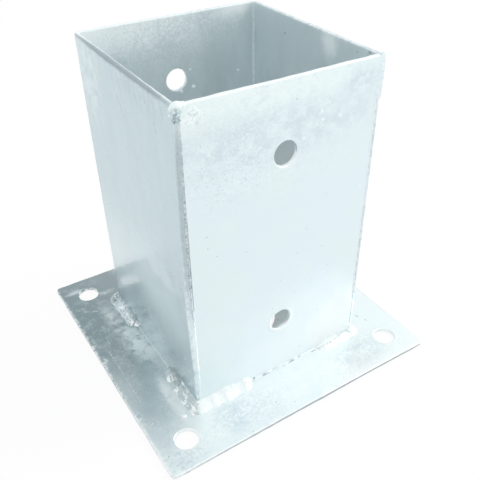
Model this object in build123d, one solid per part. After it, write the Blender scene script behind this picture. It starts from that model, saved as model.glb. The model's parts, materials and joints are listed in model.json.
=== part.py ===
"""Bolt-down timber post base, hot-dip galvanised sheet steel, in millimetres.

A square plate with four anchor holes and a drain hole carries a square sleeve for the post.
The sleeve is a folded channel closed by a flat plate, and stitch welds hold it all together.
The origin is the middle of the plate's underside. +Z is up, and the closing plate faces -Y.
"""
import os
from math import cos, radians, sin, sqrt

from build123d import *

# Base plate
plate_size = 150.0        # side of the square
plate_t = 2.0
plate_corner_r = 1.5
anchor_hole_d = 11.0
anchor_hole_inset = 14.5  # hole centre from the plate's edges
drain_hole_d = 50.0

# Sleeve
post_size = 91.0          # clear width inside, for a 90 mm planed post
sheet_t = 2.0
sleeve_height = 153.0     # above the base plate
bend_r = 1.0              # inside radius of the two folds
seam_gap = 0.15           # each side of the closing plate
cross_hole_d = 11.0
cross_hole_drop = 31.0    # upper hole centre below the rim
cross_hole_pitch = 89.0   # upper to lower hole

# Sheared and punched edges
edge_roll = 0.4           # blunt side of a cut or punched edge

# Fillet welds along the foot of the sleeve
foot_leg = 5.0            # reach of the weld on the plate and on the wall
foot_root = 2.0           # depth of the bead's centre line behind both faces
foot_pitch = 5.5          # one ripple of the bead
foot_ripple = 0.4         # height of a ripple
foot_front_left = 31.0    # run along the front wall from the left corner
foot_front_right = 24.5   # run along the front wall from the right corner
foot_side_left = 31.0     # run along the left wall from the front corner
foot_side_right = 30.0    # run along the right wall from the front corner
foot_back = 28.0          # runs from the two folded corners

# Welds on the two front seams, at the rim
seam_tack_length = 8.0    # left seam
seam_tack_cover = 0.45    # metal over the corner of the sleeve
seam_stitch_length = 19.0  # right seam
seam_stitch_cover = 0.3
seam_pitch = 4.6
seam_ripple = 0.2
cap_flats = 3             # flats that round off the end of a bead

STANDING = (Align.CENTER, Align.CENTER, Align.MIN)

# Sizes that follow from those above
sleeve_size = post_size + 2 * sheet_t
sleeve_half = sleeve_size / 2
rim_z = plate_t + sleeve_height
upper_hole_z = rim_z - cross_hole_drop
lower_hole_z = upper_hole_z - cross_hole_pitch
anchor_half = plate_size / 2 - anchor_hole_inset
foot_r = sqrt((foot_leg + foot_root) ** 2 + foot_root**2)


def punch(diameter, thickness):
    """A round punch through a sheet that lies from z = 0 up to its blunted entry side."""
    r = diameter / 2
    lip = Pos(0, 0, thickness - edge_roll) * Cone(r, r + edge_roll, edge_roll, align=STANDING)
    return Pos(0, 0, -thickness) * Cylinder(r, 3 * thickness, align=STANDING) + lip


def cross_punches(wall_y, outward):
    """The two punches of one wall, with their entry side on the outside of the sleeve."""
    face = Plane(origin=(0, wall_y, 0), x_dir=(1, 0, 0), z_dir=(0, outward, 0))
    tool = Pos(0, 0, -sheet_t) * punch(cross_hole_d, sheet_t)
    return [Pos(0, 0, z) * (face * tool) for z in (lower_hole_z, upper_hole_z)]


def make_base_plate():
    """Square sheared plate, with four punched anchor holes and the punched drain hole."""
    plate = extrude(RectangleRounded(plate_size, plate_size, plate_corner_r), plate_t)
    plate = chamfer(plate.edges().group_by(Axis.Z)[-1], edge_roll)
    anchor = punch(anchor_hole_d, plate_t)
    for x in (-anchor_half, anchor_half):
        for y in (-anchor_half, anchor_half):
            plate -= Pos(x, y, 0) * anchor
    return plate - punch(drain_hole_d, plate_t)


def sleeve_outline():
    """Outside of the sleeve in plan: square in front, folded round at the back."""
    square = Rectangle(sleeve_size, sleeve_size)
    return fillet(square.vertices().group_by(Axis.Y)[-1], bend_r + sheet_t)


def sleeve_clear():
    """Inside of the sleeve in plan, run out through the front, where the channel is open."""
    square = Rectangle(post_size, post_size)
    inside = fillet(square.vertices().group_by(Axis.Y)[-1], bend_r)
    return inside + Pos(0, -sleeve_half) * Rectangle(post_size, sleeve_size)


def make_sleeve_channel():
    """Back wall and two flanges, folded from one sheet."""
    channel = Pos(0, 0, plate_t) * extrude(sleeve_outline() - sleeve_clear(), sleeve_height)
    channel = chamfer(channel.edges().group_by(Axis.Z)[-1], edge_roll)
    for tool in cross_punches(sleeve_half, 1):
        channel -= tool
    return channel


def make_front_plate():
    """Flat plate between the two flanges, flush with their ends."""
    width = post_size - 2 * seam_gap
    plate = extrude(Pos(0, sheet_t / 2 - sleeve_half) * Rectangle(width, sheet_t), sleeve_height)
    plate = Pos(0, 0, plate_t) * plate
    plate = chamfer(plate.edges().filter_by(Axis.X).group_by(Axis.Z)[-1], edge_roll)
    for tool in cross_punches(-sleeve_half, -1):
        plate -= tool
    return plate


def rippled_bead(run, r, root, pitch, ripple):
    """A round bead along +X from x = 0, with a ripple every pitch and a blunt far end.

    Each ripple rises slowly and ends in a step, as the frozen edge of a weld pool does.
    The far end falls off in flats that follow a quarter circle, down to the root.
    """
    base = r - ripple
    cap = base - root
    straight = run - cap
    count = max(1, round(straight / pitch))
    step = straight / count
    ripples = [((i + end) * step, base + end * ripple) for i in range(count) for end in (0, 1)]
    flats = [radians(90 * i / cap_flats) for i in range(cap_flats + 1)]
    cap_points = [(straight + cap * sin(a), root + cap * cos(a)) for a in flats]
    outline = make_face(Plane.XZ * Polyline(*ripples, *cap_points, (run, 0), (0, 0), close=True))
    return revolve(outline, Axis.X)


def foot_weld(side_x, side_y, run_x, run_y):
    """Fillet weld round one corner of the sleeve, with a leg along each of its two walls.

    side_x and side_y are 1 or -1 and choose the corner. run_x and run_y are the legs' lengths.
    """
    pivot_half = sleeve_half - foot_root
    pivot = Pos(side_x * pivot_half, side_y * pivot_half, plate_t - foot_root)
    along_x = Rot(0, 0, 180 if side_x > 0 else 0)
    along_y = Rot(0, 0, -90 * side_y)
    weld = pivot * Sphere(foot_r - foot_ripple / 2)
    for turn, run in ((along_x, run_x), (along_y, run_y)):
        leg = rippled_bead(run - foot_root, foot_r, foot_root, foot_pitch, foot_ripple)
        weld += pivot * turn * leg
    weld -= extrude(Pos(0, 0, plate_t) * Rectangle(plate_size, plate_size), -2 * foot_r)
    return weld - extrude(sleeve_outline(), rim_z)


def seam_weld(side_x, length, cover):
    """Weld down a front seam from the rim, wrapped round the corner of the sleeve."""
    r = sheet_t * sqrt(2) + cover + seam_ripple
    bead = rippled_bead(length, r, sheet_t, seam_pitch, seam_ripple)
    pivot = Pos(side_x * (sleeve_half - sheet_t), sheet_t - sleeve_half, rim_z)
    return pivot * Rot(0, 90, 0) * bead - extrude(sleeve_outline(), rim_z)


pieces = {
    "base_plate": make_base_plate(),
    "sleeve_channel": make_sleeve_channel(),
    "front_plate": make_front_plate(),
    "foot_weld_front_left": foot_weld(-1, -1, foot_front_left, foot_side_left),
    "foot_weld_front_right": foot_weld(1, -1, foot_front_right, foot_side_right),
    "foot_weld_back_left": foot_weld(-1, 1, foot_back, foot_back),
    "foot_weld_back_right": foot_weld(1, 1, foot_back, foot_back),
    "seam_tack_left": seam_weld(-1, seam_tack_length, seam_tack_cover),
    "seam_stitch_right": seam_weld(1, seam_stitch_length, seam_stitch_cover),
}

os.makedirs("parts", exist_ok=True)
for name, shape in pieces.items():
    export_step(shape, f"parts/{name}.step")
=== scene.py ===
"""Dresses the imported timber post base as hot-dip galvanised steel, in metres.

The base plate, the folded sleeve and its closing plate are rebuilt as dipped sheets, with rolled
edges, zinc collars round the punched holes and the unevenness of a thick coat. Geometry Nodes lay
the rippled welds, the zinc that bridges the seams, and the drops and grains that the coat left.
The camera stands where the photograph was taken from, in a plain white studio.
"""
from __future__ import annotations

import json
import logging
import math
from abc import ABC, abstractmethod
from dataclasses import dataclass, field
from enum import Enum
from typing import Callable, Protocol, Sequence

import bpy
import bmesh
import numpy as np
from mathutils import Matrix, Vector, noise

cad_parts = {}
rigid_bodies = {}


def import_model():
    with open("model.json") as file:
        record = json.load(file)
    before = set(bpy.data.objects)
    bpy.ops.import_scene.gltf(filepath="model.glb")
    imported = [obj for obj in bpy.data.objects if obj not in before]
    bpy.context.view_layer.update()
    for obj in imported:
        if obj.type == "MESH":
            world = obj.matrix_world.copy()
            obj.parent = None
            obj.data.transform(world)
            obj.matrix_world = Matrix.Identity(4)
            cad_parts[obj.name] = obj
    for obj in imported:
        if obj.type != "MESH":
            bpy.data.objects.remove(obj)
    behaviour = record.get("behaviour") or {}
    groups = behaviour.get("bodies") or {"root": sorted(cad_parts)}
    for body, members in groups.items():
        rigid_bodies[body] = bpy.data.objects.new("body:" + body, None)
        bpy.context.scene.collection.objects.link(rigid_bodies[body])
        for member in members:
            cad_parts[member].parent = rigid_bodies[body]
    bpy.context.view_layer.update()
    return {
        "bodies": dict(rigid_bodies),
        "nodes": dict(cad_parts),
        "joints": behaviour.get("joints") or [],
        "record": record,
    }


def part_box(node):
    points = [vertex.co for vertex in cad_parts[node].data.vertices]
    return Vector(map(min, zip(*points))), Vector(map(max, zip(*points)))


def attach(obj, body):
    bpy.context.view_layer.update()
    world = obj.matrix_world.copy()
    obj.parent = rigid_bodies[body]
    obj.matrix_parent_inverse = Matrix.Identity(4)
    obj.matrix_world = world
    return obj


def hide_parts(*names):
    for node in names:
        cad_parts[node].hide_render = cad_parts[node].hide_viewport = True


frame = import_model()

MM = 0.001
TINY = 1e-7
SLANT = math.sqrt(0.5)
LOG = logging.getLogger("post_base")

Colour = tuple[float, float, float]
Point = tuple[float, float, float]
Flat = tuple[float, float]
Placing = Callable[[np.ndarray, np.ndarray, np.ndarray], np.ndarray]
Socket = bpy.types.NodeSocket
Material = bpy.types.Material
Mesh = bpy.types.Mesh
UP: Point = (0.0, 0.0, 1.0)
FORWARD: Point = (0.0, -1.0, 0.0)


class Slot(Enum):
    """Material slots of the record."""

    SHEET = "galvanised_sheet"
    WELD = "galvanised_weld"


@dataclass(frozen=True)
class Layout:
    """Places and sizes of the base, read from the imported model, in metres."""

    plate_half: float
    plate_top: float
    sleeve_half: float
    rim_z: float
    sheet: float
    anchor_half: float
    hole_radius: float
    lower_hole_z: float
    upper_hole_z: float
    fold_radius: float = 3.0 * MM
    drain_radius: float = 25.0 * MM

    @classmethod
    def read(cls, packed: dict) -> Layout:
        """Read the layout from the frame.


        Returns:
            The layout in metres.
        """
        mounts = {mount["name"]: mount for mount in packed["record"]["mounts"]}
        plate_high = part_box("base_plate")[1]
        sleeve_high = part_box("sleeve_channel")[1]
        front_low, front_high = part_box("front_plate")
        bolts = mounts["anchor_bolts"]["dims"]
        return cls(
            plate_half=plate_high.x,
            plate_top=plate_high.z,
            sleeve_half=sleeve_high.x,
            rim_z=sleeve_high.z,
            sheet=front_high.y - front_low.y,
            anchor_half=bolts["spacing_x_mm"] * MM / 2,
            hole_radius=bolts["hole_r_mm"] * MM,
            lower_hole_z=mounts["lower_cross_bolt"]["pos_m"][2],
            upper_hole_z=mounts["upper_cross_bolt"]["pos_m"][2],
        )


LAYOUT = Layout.read(frame)


class NodeCanvas:
    """Adds and links the nodes of one tree."""

    def __init__(self, tree: bpy.types.NodeTree) -> None:
        """Keep the tree that the nodes go into."""
        self.tree = tree

    def add(self, kind: str, **settings: object) -> bpy.types.Node:
        """Add a node.

        Args:
            kind: the node's type name.
            settings: attributes of the node, and then its inputs, which have capital initials.

        Returns:
            The new node.
        """
        node = self.tree.nodes.new(kind)
        for name, value in settings.items():
            if name[0].isupper():
                self.feed(node.inputs[name], value)
            else:
                setattr(node, name, value)
        return node

    def feed(self, socket: Socket, value: object) -> None:
        """Link a socket to another node's output, or set it to a plain value.

        Args:
            socket: the input.
            value: another node's output, a number, a vector, a colour or a name.
        """
        if isinstance(value, Socket):
            self.tree.links.new(value, socket)
        elif socket.type == "RGBA":
            socket.default_value = (*value, 1.0)
        else:
            socket.default_value = value

    def math(self, operation: str, *values: object, clamp: bool = False) -> Socket:
        """Add a Math node.

        Args:
            operation: the node's operation.
            values: its inputs, each a number or another node's output.
            clamp: whether the result is kept from 0 to 1.

        Returns:
            The result.
        """
        node = self.add("ShaderNodeMath", operation=operation, use_clamp=clamp)
        for socket, value in zip(node.inputs, values):
            self.feed(socket, value)
        return node.outputs[0]

    def remap(self, value: object, low: float, high: float, to_low: float = 0.0,
              to_high: float = 1.0, smooth: bool = True) -> Socket:
        """Map a range of a value to another range, clamped at both ends.

        Args:
            value: the number or output to map.
            low: the value that becomes to_low.
            high: the value that becomes to_high.
            to_low: result at low.
            to_high: result at high.
            smooth: whether the ends are eased.

        Returns:
            The mapped value.
        """
        kind = "SMOOTHSTEP" if smooth else "LINEAR"
        node = self.add("ShaderNodeMapRange", interpolation_type=kind, clamp=True)
        for socket, number in zip(node.inputs, (value, low, high, to_low, to_high)):
            self.feed(socket, number)
        return node.outputs[0]

    def vector_math(self, operation: str, *values: object) -> Socket:
        """Add a Vector Math node.

        Args:
            operation: the node's operation.
            values: its inputs, each a vector or another node's output.

        Returns:
            The vector, or the number of a length or a dot product.
        """
        node = self.add("ShaderNodeVectorMath", operation=operation)
        for socket, value in zip(node.inputs, values):
            self.feed(socket, value)
        return node.outputs["Value" if operation in ("LENGTH", "DOT_PRODUCT") else "Vector"]

    def scaled(self, vector: object, factor: object) -> Socket:
        """Multiply a vector by a number.

        Args:
            vector: the vector or an output.
            factor: the number or an output.

        Returns:
            The longer or shorter vector.
        """
        result = self.vector_math("SCALE", vector)
        self.feed(result.node.inputs["Scale"], factor)
        return result

    def noise(self, place: object, scale: object, detail: float = 2.0,
              roughness: float = 0.5) -> Socket:
        """Add a noise texture.

        Args:
            place: where it is read.
            scale: waves for each metre.
            detail: number of finer layers.
            roughness: strength of each finer layer.

        Returns:
            Its value, from about 0.2 to 0.8 with 0.5 in the middle.
        """
        node = self.add("ShaderNodeTexNoise", Vector=place, Scale=scale, Detail=detail, Roughness=roughness)
        return node.outputs[0]

    def mix(self, share: object, first: object, second: object) -> Socket:
        """Mix two colours or two numbers.

        Args:
            share: 0 for the first and 1 for the second.
            first: a colour, a number or an output.
            second: a colour or a number.

        Returns:
            The mixed value.
        """
        of_colours = isinstance(second, tuple)
        node = self.add("ShaderNodeMix", data_type="RGBA" if of_colours else "FLOAT")
        low, high, result = (6, 7, 2) if of_colours else (2, 3, 0)
        for socket, value in zip((0, low, high), (share, first, second)):
            self.feed(node.inputs[socket], value)
        return node.outputs[result]

    def split(self, vector: object) -> bpy.types.NodeOutputs:
        """Take a vector or a colour apart.

        Args:
            vector: the output to take apart.

        Returns:
            Its three numbers.
        """
        node = self.add("ShaderNodeSeparateXYZ")
        self.feed(node.inputs[0], vector)
        return node.outputs


def new_object(name: str, data: bpy.types.ID) -> bpy.types.Object:
    """Make an object and link it to the scene.

    Args:
        name: name of the object.
        data: its mesh, lamp or camera.

    Returns:
        The new object.
    """
    made = bpy.data.objects.new(name, data)
    bpy.context.scene.collection.objects.link(made)
    return made


def direction(azimuth: float, elevation: float) -> Vector:
    """Unit vector from the object to a place round it.

    Args:
        azimuth: degrees to the right of the front.
        elevation: degrees above the table.

    Returns:
        The vector.
    """
    turn, rise = math.radians(azimuth), math.radians(elevation)
    return Vector((math.sin(turn) * math.cos(rise), -math.cos(turn) * math.cos(rise), math.sin(rise)))


def rough_coat(points: np.ndarray, scales: Sequence[float], heights: Sequence[float],
               seed: float) -> np.ndarray:
    """Smooth uneven height of a dipped coat.

    Args:
        points: places in metres, one row each.
        scales: width of the waves of each layer, in metres.
        heights: height of each layer, in metres.
        seed: shifts the pattern, so that pieces differ.

    Returns:
        The height at each point, in metres, about zero.
    """
    total = np.zeros(len(points))
    for scale, height in zip(scales, heights):
        rows = points / scale + seed
        total += height * np.array([noise.noise(Vector(row)) for row in rows])
    return total


@dataclass(frozen=True)
class PunchedHole:
    """Round hole in a sheet, by its place along the sheet, with a collar of zinc on its outer side."""

    u: float
    v: float
    radius: float
    collar: float = 0.0


@dataclass
class SheetMesher:
    """Meshes one closed sheet with rolled edges and round holes.

    It works in the sheet's own coordinates: u and v along it, and w outward from its middle.
    """

    low: Flat
    high: Flat
    thickness: float
    holes: tuple[PunchedHole, ...] = ()
    fine_spans: tuple[tuple[float, float, int], ...] = ()
    step: float = 1.25 * MM
    roll: float = 0.55 * MM
    squareness: float = 0.62
    wall_rows: int = 8
    hole_margin: float = 4.2 * MM
    ring_gaps: tuple[float, ...] = (0.2 * MM, 0.25 * MM, 0.25 * MM, 0.3 * MM, 0.4 * MM, 0.6 * MM)
    blend_rows: int = 3
    collar_width: float = 0.85 * MM
    edge_fade: float = 1.2 * MM
    points: list[Flat] = field(default_factory=list)
    faces: list[tuple[int, ...]] = field(default_factory=list)
    loops: list[tuple[list[int], list[Flat]]] = field(default_factory=list)

    def lines(self, axis: int) -> list[float]:
        """Grid lines along u or v, with one on each side of every hole's block and of every span.

        Args:
            axis: 0 for u and 1 for v.

        Returns:
            The lines, in order.
        """
        stops = {self.low[axis] + self.roll: 1, self.high[axis] - self.roll: 1}
        for hole in self.holes:
            middle = (hole.u, hole.v)[axis]
            block = hole.radius + self.hole_margin
            stops[middle - block] = stops[middle + block] = 1
        spans = self.fine_spans if axis == 0 else ()
        for start, end, _ in spans:
            stops[start] = stops[end] = 1
        ordered = []
        for stop in sorted(stops):
            if not ordered or stop - ordered[-1] > TINY:
                ordered.append(stop)
        found = [ordered[0]]
        for start, end in zip(ordered, ordered[1:]):
            least = max([n for s, e, n in spans if s - TINY < start and end < e + TINY], default=1)
            count = max(least, round((end - start) / self.step))
            found.extend(start + (end - start) * i / count for i in range(1, count + 1))
        return found

    def in_block(self, u: float, v: float, edge: bool) -> bool:
        """Whether a place lies in a hole's block, with or without the block's own edge.

        Args:
            u: the place along u.
            v: the place along v.
            edge: whether the block's edge counts.

        Returns:
            True inside a block.
        """
        slack = TINY if edge else -TINY
        for hole in self.holes:
            block = hole.radius + self.hole_margin + slack
            if abs(u - hole.u) < block and abs(v - hole.v) < block:
                return True
        return False

    def lay_grid(self) -> tuple[list[float], list[float], dict[tuple[int, int], int]]:
        """Lay the grid of one skin, without the blocks of the holes, and note its outline.

        Returns:
            The lines along u, those along v, and the number of each point by its place in the grid.
        """
        us, vs = self.lines(0), self.lines(1)
        index = {}
        for j, v in enumerate(vs):
            for i, u in enumerate(us):
                if not self.in_block(u, v, edge=False):
                    index[i, j] = len(self.points)
                    self.points.append((u, v))
        for j in range(len(vs) - 1):
            for i in range(len(us) - 1):
                if not self.in_block((us[i] + us[i + 1]) / 2, (vs[j] + vs[j + 1]) / 2, edge=True):
                    corners = (i, j), (i + 1, j), (i + 1, j + 1), (i, j + 1)
                    self.faces.append(tuple(index[c] for c in corners))
        last_i, last_j = len(us) - 1, len(vs) - 1
        path = self.round_trip(0, last_i, 0, last_j)
        out = [((i == last_i) - (i == 0), (j == last_j) - (j == 0)) for i, j in path]
        self.loops.append(([index[c] for c in path], out))
        return us, vs, index

    @staticmethod
    def round_trip(i0: int, i1: int, j0: int, j1: int) -> list[tuple[int, int]]:
        """Grid places round a rectangle, each once.

        Args:
            i0: first column.
            i1: last column.
            j0: first row.
            j1: last row.

        Returns:
            The places, in order.
        """
        path = [(i, j0) for i in range(i0, i1)] + [(i1, j) for j in range(j0, j1)]
        return path + [(i, j1) for i in range(i1, i0, -1)] + [(i0, j) for j in range(j1, j0, -1)]

    def ring_hole(self, hole: PunchedHole, us: list[float], vs: list[float],
                  index: dict[tuple[int, int], int]) -> None:
        """Fill one block with rings round its hole, and note the hole's outline.

        Args:
            hole: the hole.
            us: grid lines along u.
            vs: grid lines along v.
            index: what lay_grid() noted of the points.
        """
        block = hole.radius + self.hole_margin
        i0, i1 = (int(np.argmin([abs(u - hole.u - s * block) for u in us])) for s in (-1, 1))
        j0, j1 = (int(np.argmin([abs(v - hole.v - s * block) for v in vs])) for s in (-1, 1))
        border = [index[c] for c in self.round_trip(i0, i1, j0, j1)]
        offsets = [(self.points[b][0] - hole.u, self.points[b][1] - hole.v) for b in border]
        unit = [(x / math.hypot(x, y), y / math.hypot(x, y)) for x, y in offsets]
        radius = hole.radius + self.roll
        rings = []
        for gap in (0.0, *self.ring_gaps):
            radius += gap
            rings.append([(hole.u + x * radius, hole.v + y * radius) for x, y in unit])
        for row in range(1, self.blend_rows + 1):
            share = row / (self.blend_rows + 1)
            shrunk = (1 - share) * radius
            rings.append([(hole.u + shrunk * x + share * ox, hole.v + shrunk * y + share * oy)
                          for (x, y), (ox, oy) in zip(unit, offsets)])
        rows = []
        for ring in rings:
            rows.append(list(range(len(self.points), len(self.points) + len(ring))))
            self.points.extend(ring)
        rows.append(border)
        for inner, outer in zip(rows, rows[1:]):
            for k in range(len(border)):
                after = (k + 1) % len(border)
                self.faces.append((inner[k], outer[k], outer[after], inner[after]))
        self.loops.append((rows[0], [(-x, -y) for x, y in unit]))

    def edge_distance(self, flat: np.ndarray) -> np.ndarray:
        """Distance of places from the nearest edge of the sheet or of a hole.

        Args:
            flat: rows of u and v.

        Returns:
            The distances.
        """
        nearest = np.minimum(flat - np.array(self.low), np.array(self.high) - flat).min(axis=1)
        for hole in self.holes:
            nearest = np.minimum(nearest, np.hypot(flat[:, 0] - hole.u, flat[:, 1] - hole.v) - hole.radius)
        return nearest

    def collar_height(self, flat: np.ndarray) -> np.ndarray:
        """Height of the zinc collars on the outer skin.

        Args:
            flat: rows of u and v.

        Returns:
            The height at each place.
        """
        height = np.zeros(len(flat))
        for hole in self.holes:
            out = np.hypot(flat[:, 0] - hole.u, flat[:, 1] - hole.v) - hole.radius - self.roll
            rise = np.clip(1.0 - np.abs(out - 0.35 * self.collar_width) / self.collar_width, 0.0, 1.0)
            height += hole.collar * rise * rise * (3 - 2 * rise)
        return height

    def build(self, name: str, place: Placing) -> Mesh:
        """Mesh the sheet and put it in its place.

        Args:
            name: name of the mesh.
            place: maps arrays of u, v and w to rows of x, y and z.

        Returns:
            The closed mesh, with an edge_zinc attribute that is 1 on the rolled edges.
        """
        grid = self.lay_grid()
        for hole in self.holes:
            self.ring_hole(hole, *grid)
        flat = np.array(self.points)
        half = self.thickness / 2
        count = len(flat)
        u = [flat[:, 0], flat[:, 0]]
        v = [flat[:, 1], flat[:, 1]]
        w = [half + self.collar_height(flat), np.full(count, -half)]
        near = np.exp(-np.maximum(self.edge_distance(flat), 0.0) / self.edge_fade)
        edge = [near, near]
        faces = list(self.faces) + [tuple(count + i for i in reversed(f)) for f in self.faces]
        total = 2 * count
        for loop, out in self.loops:
            start, reach = flat[loop], np.array(out, float)
            previous = list(loop)
            for row in range(1, self.wall_rows):
                turn = math.pi * row / self.wall_rows
                side = math.copysign(abs(math.cos(turn)) ** self.squareness, math.cos(turn))
                swell = self.roll * math.sin(turn) ** self.squareness
                u.append(start[:, 0] + reach[:, 0] * swell)
                v.append(start[:, 1] + reach[:, 1] * swell)
                w.append(np.full(len(loop), half * side))
                edge.append(np.ones(len(loop)))
                current = list(range(total, total + len(loop)))
                total += len(loop)
                self.join_rows(faces, previous, current)
                previous = current
            self.join_rows(faces, previous, [count + i for i in loop])
        places = place(np.concatenate(u), np.concatenate(v), np.concatenate(w))
        mesh = bpy.data.meshes.new(name)
        mesh.from_pydata(places.tolist(), [], faces)
        zinc = mesh.attributes.new("edge_zinc", "FLOAT", "POINT")
        zinc.data.foreach_set("value", np.concatenate(edge).astype(np.float32))
        self.point_outwards(mesh)
        return mesh

    @staticmethod
    def join_rows(faces: list[tuple[int, ...]], first: list[int], second: list[int]) -> None:
        """Join two closed rows of points with faces.

        Args:
            faces: the list that the new faces go into.
            first: points of one row.
            second: points of the other, in the same order.
        """
        for k in range(len(first)):
            after = (k + 1) % len(first)
            faces.append((first[k], second[k], second[after], first[after]))

    @staticmethod
    def point_outwards(mesh: Mesh) -> None:
        """Turn every face outwards and shade the mesh smooth.

        Args:
            mesh: the mesh.
        """
        work = bmesh.new()
        work.from_mesh(mesh)
        bmesh.ops.recalc_face_normals(work, faces=work.faces)
        work.to_mesh(mesh)
        work.free()
        mesh.shade_smooth()


@dataclass(frozen=True)
class CoatRelief:
    """Unevenness that the zinc gives a piece, in layers from broad to fine."""

    scales: tuple[float, ...] = (24.0 * MM, 9.0 * MM, 3.2 * MM)
    heights: tuple[float, ...] = (0.16 * MM, 0.07 * MM, 0.03 * MM)
    edge_scale: float = 5.0 * MM
    edge_height: float = 0.14 * MM
    lowest: float = -math.inf
    seed: float = 0.0

    def apply(self, mesh: Mesh) -> None:
        """Push the mesh in and out along its normals.

        Args:
            mesh: the mesh of one piece.
        """
        count = len(mesh.vertices)
        points = np.zeros(count * 3)
        mesh.vertices.foreach_get("co", points)
        points = points.reshape(-1, 3)
        normals = np.zeros(count * 3, np.float32)
        mesh.vertex_normals.foreach_get("vector", normals)
        height = rough_coat(points, self.scales, self.heights, self.seed)
        if "edge_zinc" in mesh.attributes:
            edge = np.zeros(count, np.float32)
            mesh.attributes["edge_zinc"].data.foreach_get("value", edge)
            height += edge * rough_coat(points, [self.edge_scale], [self.edge_height], self.seed + 7.0)
        points += normals.reshape(-1, 3) * height[:, None]
        points[:, 2] = np.maximum(points[:, 2], self.lowest)
        mesh.vertices.foreach_set("co", points.ravel())
        mesh.update()


class Mask(Protocol):
    """Where a layer of the coat lies."""

    def share(self, canvas: NodeCanvas, place: Socket) -> Socket:
        """Build the nodes of the share, which is 0 where the layer is missing and 1 where it is full.

        Args:
            canvas: the material's tree.
            place: the place on the piece, in metres.

        Returns:
            The share.
        """


@dataclass(frozen=True)
class Patch:
    """Oval area, by its centre and its half sizes in millimetres, with a soft and ragged edge."""

    centre: Point
    reach: Point
    softness: float = 0.5
    raggedness: float = 0.35
    ragged_width: float = 9.0

    def share(self, canvas: NodeCanvas, place: Socket) -> Socket:
        """Share by the distance from the centre, measured in half sizes.

        Args:
            canvas: the material's tree.
            place: the place on the piece.

        Returns:
            The share.
        """
        offset = canvas.vector_math("SUBTRACT", place, tuple(c * MM for c in self.centre))
        offset = canvas.vector_math("DIVIDE", offset, tuple(r * MM for r in self.reach))
        wave = canvas.noise(place, 1.0 / (self.ragged_width * MM), 3.0, 0.6)
        wave = canvas.math("MULTIPLY", canvas.math("SUBTRACT", wave, 0.5), 2.0 * self.raggedness)
        distance = canvas.math("ADD", canvas.vector_math("LENGTH", offset), wave)
        return canvas.remap(distance, 1.0 - self.softness, 1.0 + 0.5 * self.softness, 1.0, 0.0)


@dataclass(frozen=True)
class Mottle:
    """Clouds, by their width in millimetres and the noise values at which they start and are full."""

    width: float
    low: float = 0.45
    high: float = 0.6
    detail: float = 3.0
    stretch: Point = (1.0, 1.0, 1.0)
    shift: float = 0.0

    def share(self, canvas: NodeCanvas, place: Socket) -> Socket:
        """Share by a noise that may be stretched along one axis.

        Args:
            canvas: the material's tree.
            place: the place on the piece.

        Returns:
            The share.
        """
        scaled = canvas.vector_math("DIVIDE", place, self.stretch)
        shifted = canvas.vector_math("ADD", scaled, (self.shift, self.shift, self.shift))
        cloud = canvas.noise(shifted, 1.0 / (self.width * MM), self.detail, 0.6)
        return canvas.remap(cloud, self.low, self.high)


@dataclass(frozen=True)
class Dots:
    """Scattered dots, by the spacing of their cells, their radius in millimetres and their chance."""

    spacing: float
    radius: float
    chance: float
    shift: float = 0.0

    def share(self, canvas: NodeCanvas, place: Socket) -> Socket:
        """Share by the distance from the nearest cell's point, in the cells that have a dot.

        Args:
            canvas: the material's tree.
            place: the place on the piece.

        Returns:
            The share.
        """
        shifted = canvas.vector_math("ADD", place, (self.shift, self.shift, self.shift))
        cells = canvas.add("ShaderNodeTexVoronoi", Vector=shifted, Scale=1.0 / (self.spacing * MM))
        random = canvas.split(cells.outputs["Color"])
        radius = canvas.remap(random[1], 0.0, 1.0, 0.45 * self.radius, self.radius, smooth=False)
        radius = canvas.math("DIVIDE", radius, self.spacing)
        near = canvas.math("DIVIDE", cells.outputs["Distance"], radius)
        near = canvas.remap(near, 0.6, 1.0, 1.0, 0.0)
        return canvas.math("MULTIPLY", near, canvas.math("LESS_THAN", random[0], self.chance))


@dataclass(frozen=True)
class Veins:
    """Fine curved lines, where clouds of a width in millimetres pass their middle value."""

    width: float
    thickness: float = 0.03
    detail: float = 3.0
    shift: float = 0.0

    def share(self, canvas: NodeCanvas, place: Socket) -> Socket:
        """Share by how near the noise is to its middle value.

        Args:
            canvas: the material's tree.
            place: the place on the piece.

        Returns:
            The share.
        """
        shifted = canvas.vector_math("ADD", place, (self.shift, self.shift, self.shift))
        cloud = canvas.noise(shifted, 1.0 / (self.width * MM), self.detail, 0.6)
        off = canvas.math("ABSOLUTE", canvas.math("SUBTRACT", cloud, 0.5))
        return canvas.remap(off, 0.0, self.thickness, 1.0, 0.0)


@dataclass(frozen=True)
class StraightMark:
    """Thin straight mark between two places, in millimetres, broken up along its length."""

    start: Point
    end: Point
    width: float = 0.35
    gaps: float = 0.42

    def share(self, canvas: NodeCanvas, place: Socket) -> Socket:
        """Share by the distance from the line between the two places.

        Args:
            canvas: the material's tree.
            place: the place on the piece.

        Returns:
            The share.
        """
        start, end = Vector(self.start) * MM, Vector(self.end) * MM
        whole = end - start
        offset = canvas.vector_math("SUBTRACT", place, tuple(start))
        along = canvas.vector_math("DOT_PRODUCT", offset, tuple(whole / whole.length_squared))
        nearest = canvas.scaled(tuple(whole), canvas.math("ADD", along, 0.0, clamp=True))
        distance = canvas.vector_math("LENGTH", canvas.vector_math("SUBTRACT", offset, nearest))
        wander = canvas.noise(place, 1.0 / (4.0 * MM), 2.0)
        wander = canvas.math("MULTIPLY", canvas.math("ABSOLUTE", canvas.math("SUBTRACT", wander, 0.5)), MM)
        width = self.width * MM
        thin = canvas.remap(canvas.math("ADD", distance, wander), 0.3 * width, width, 1.0, 0.0)
        broken = canvas.noise(place, 1.0 / (1.6 * MM), 2.0)
        return canvas.math("MULTIPLY", thin, canvas.remap(broken, self.gaps, self.gaps + 0.12))


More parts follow.
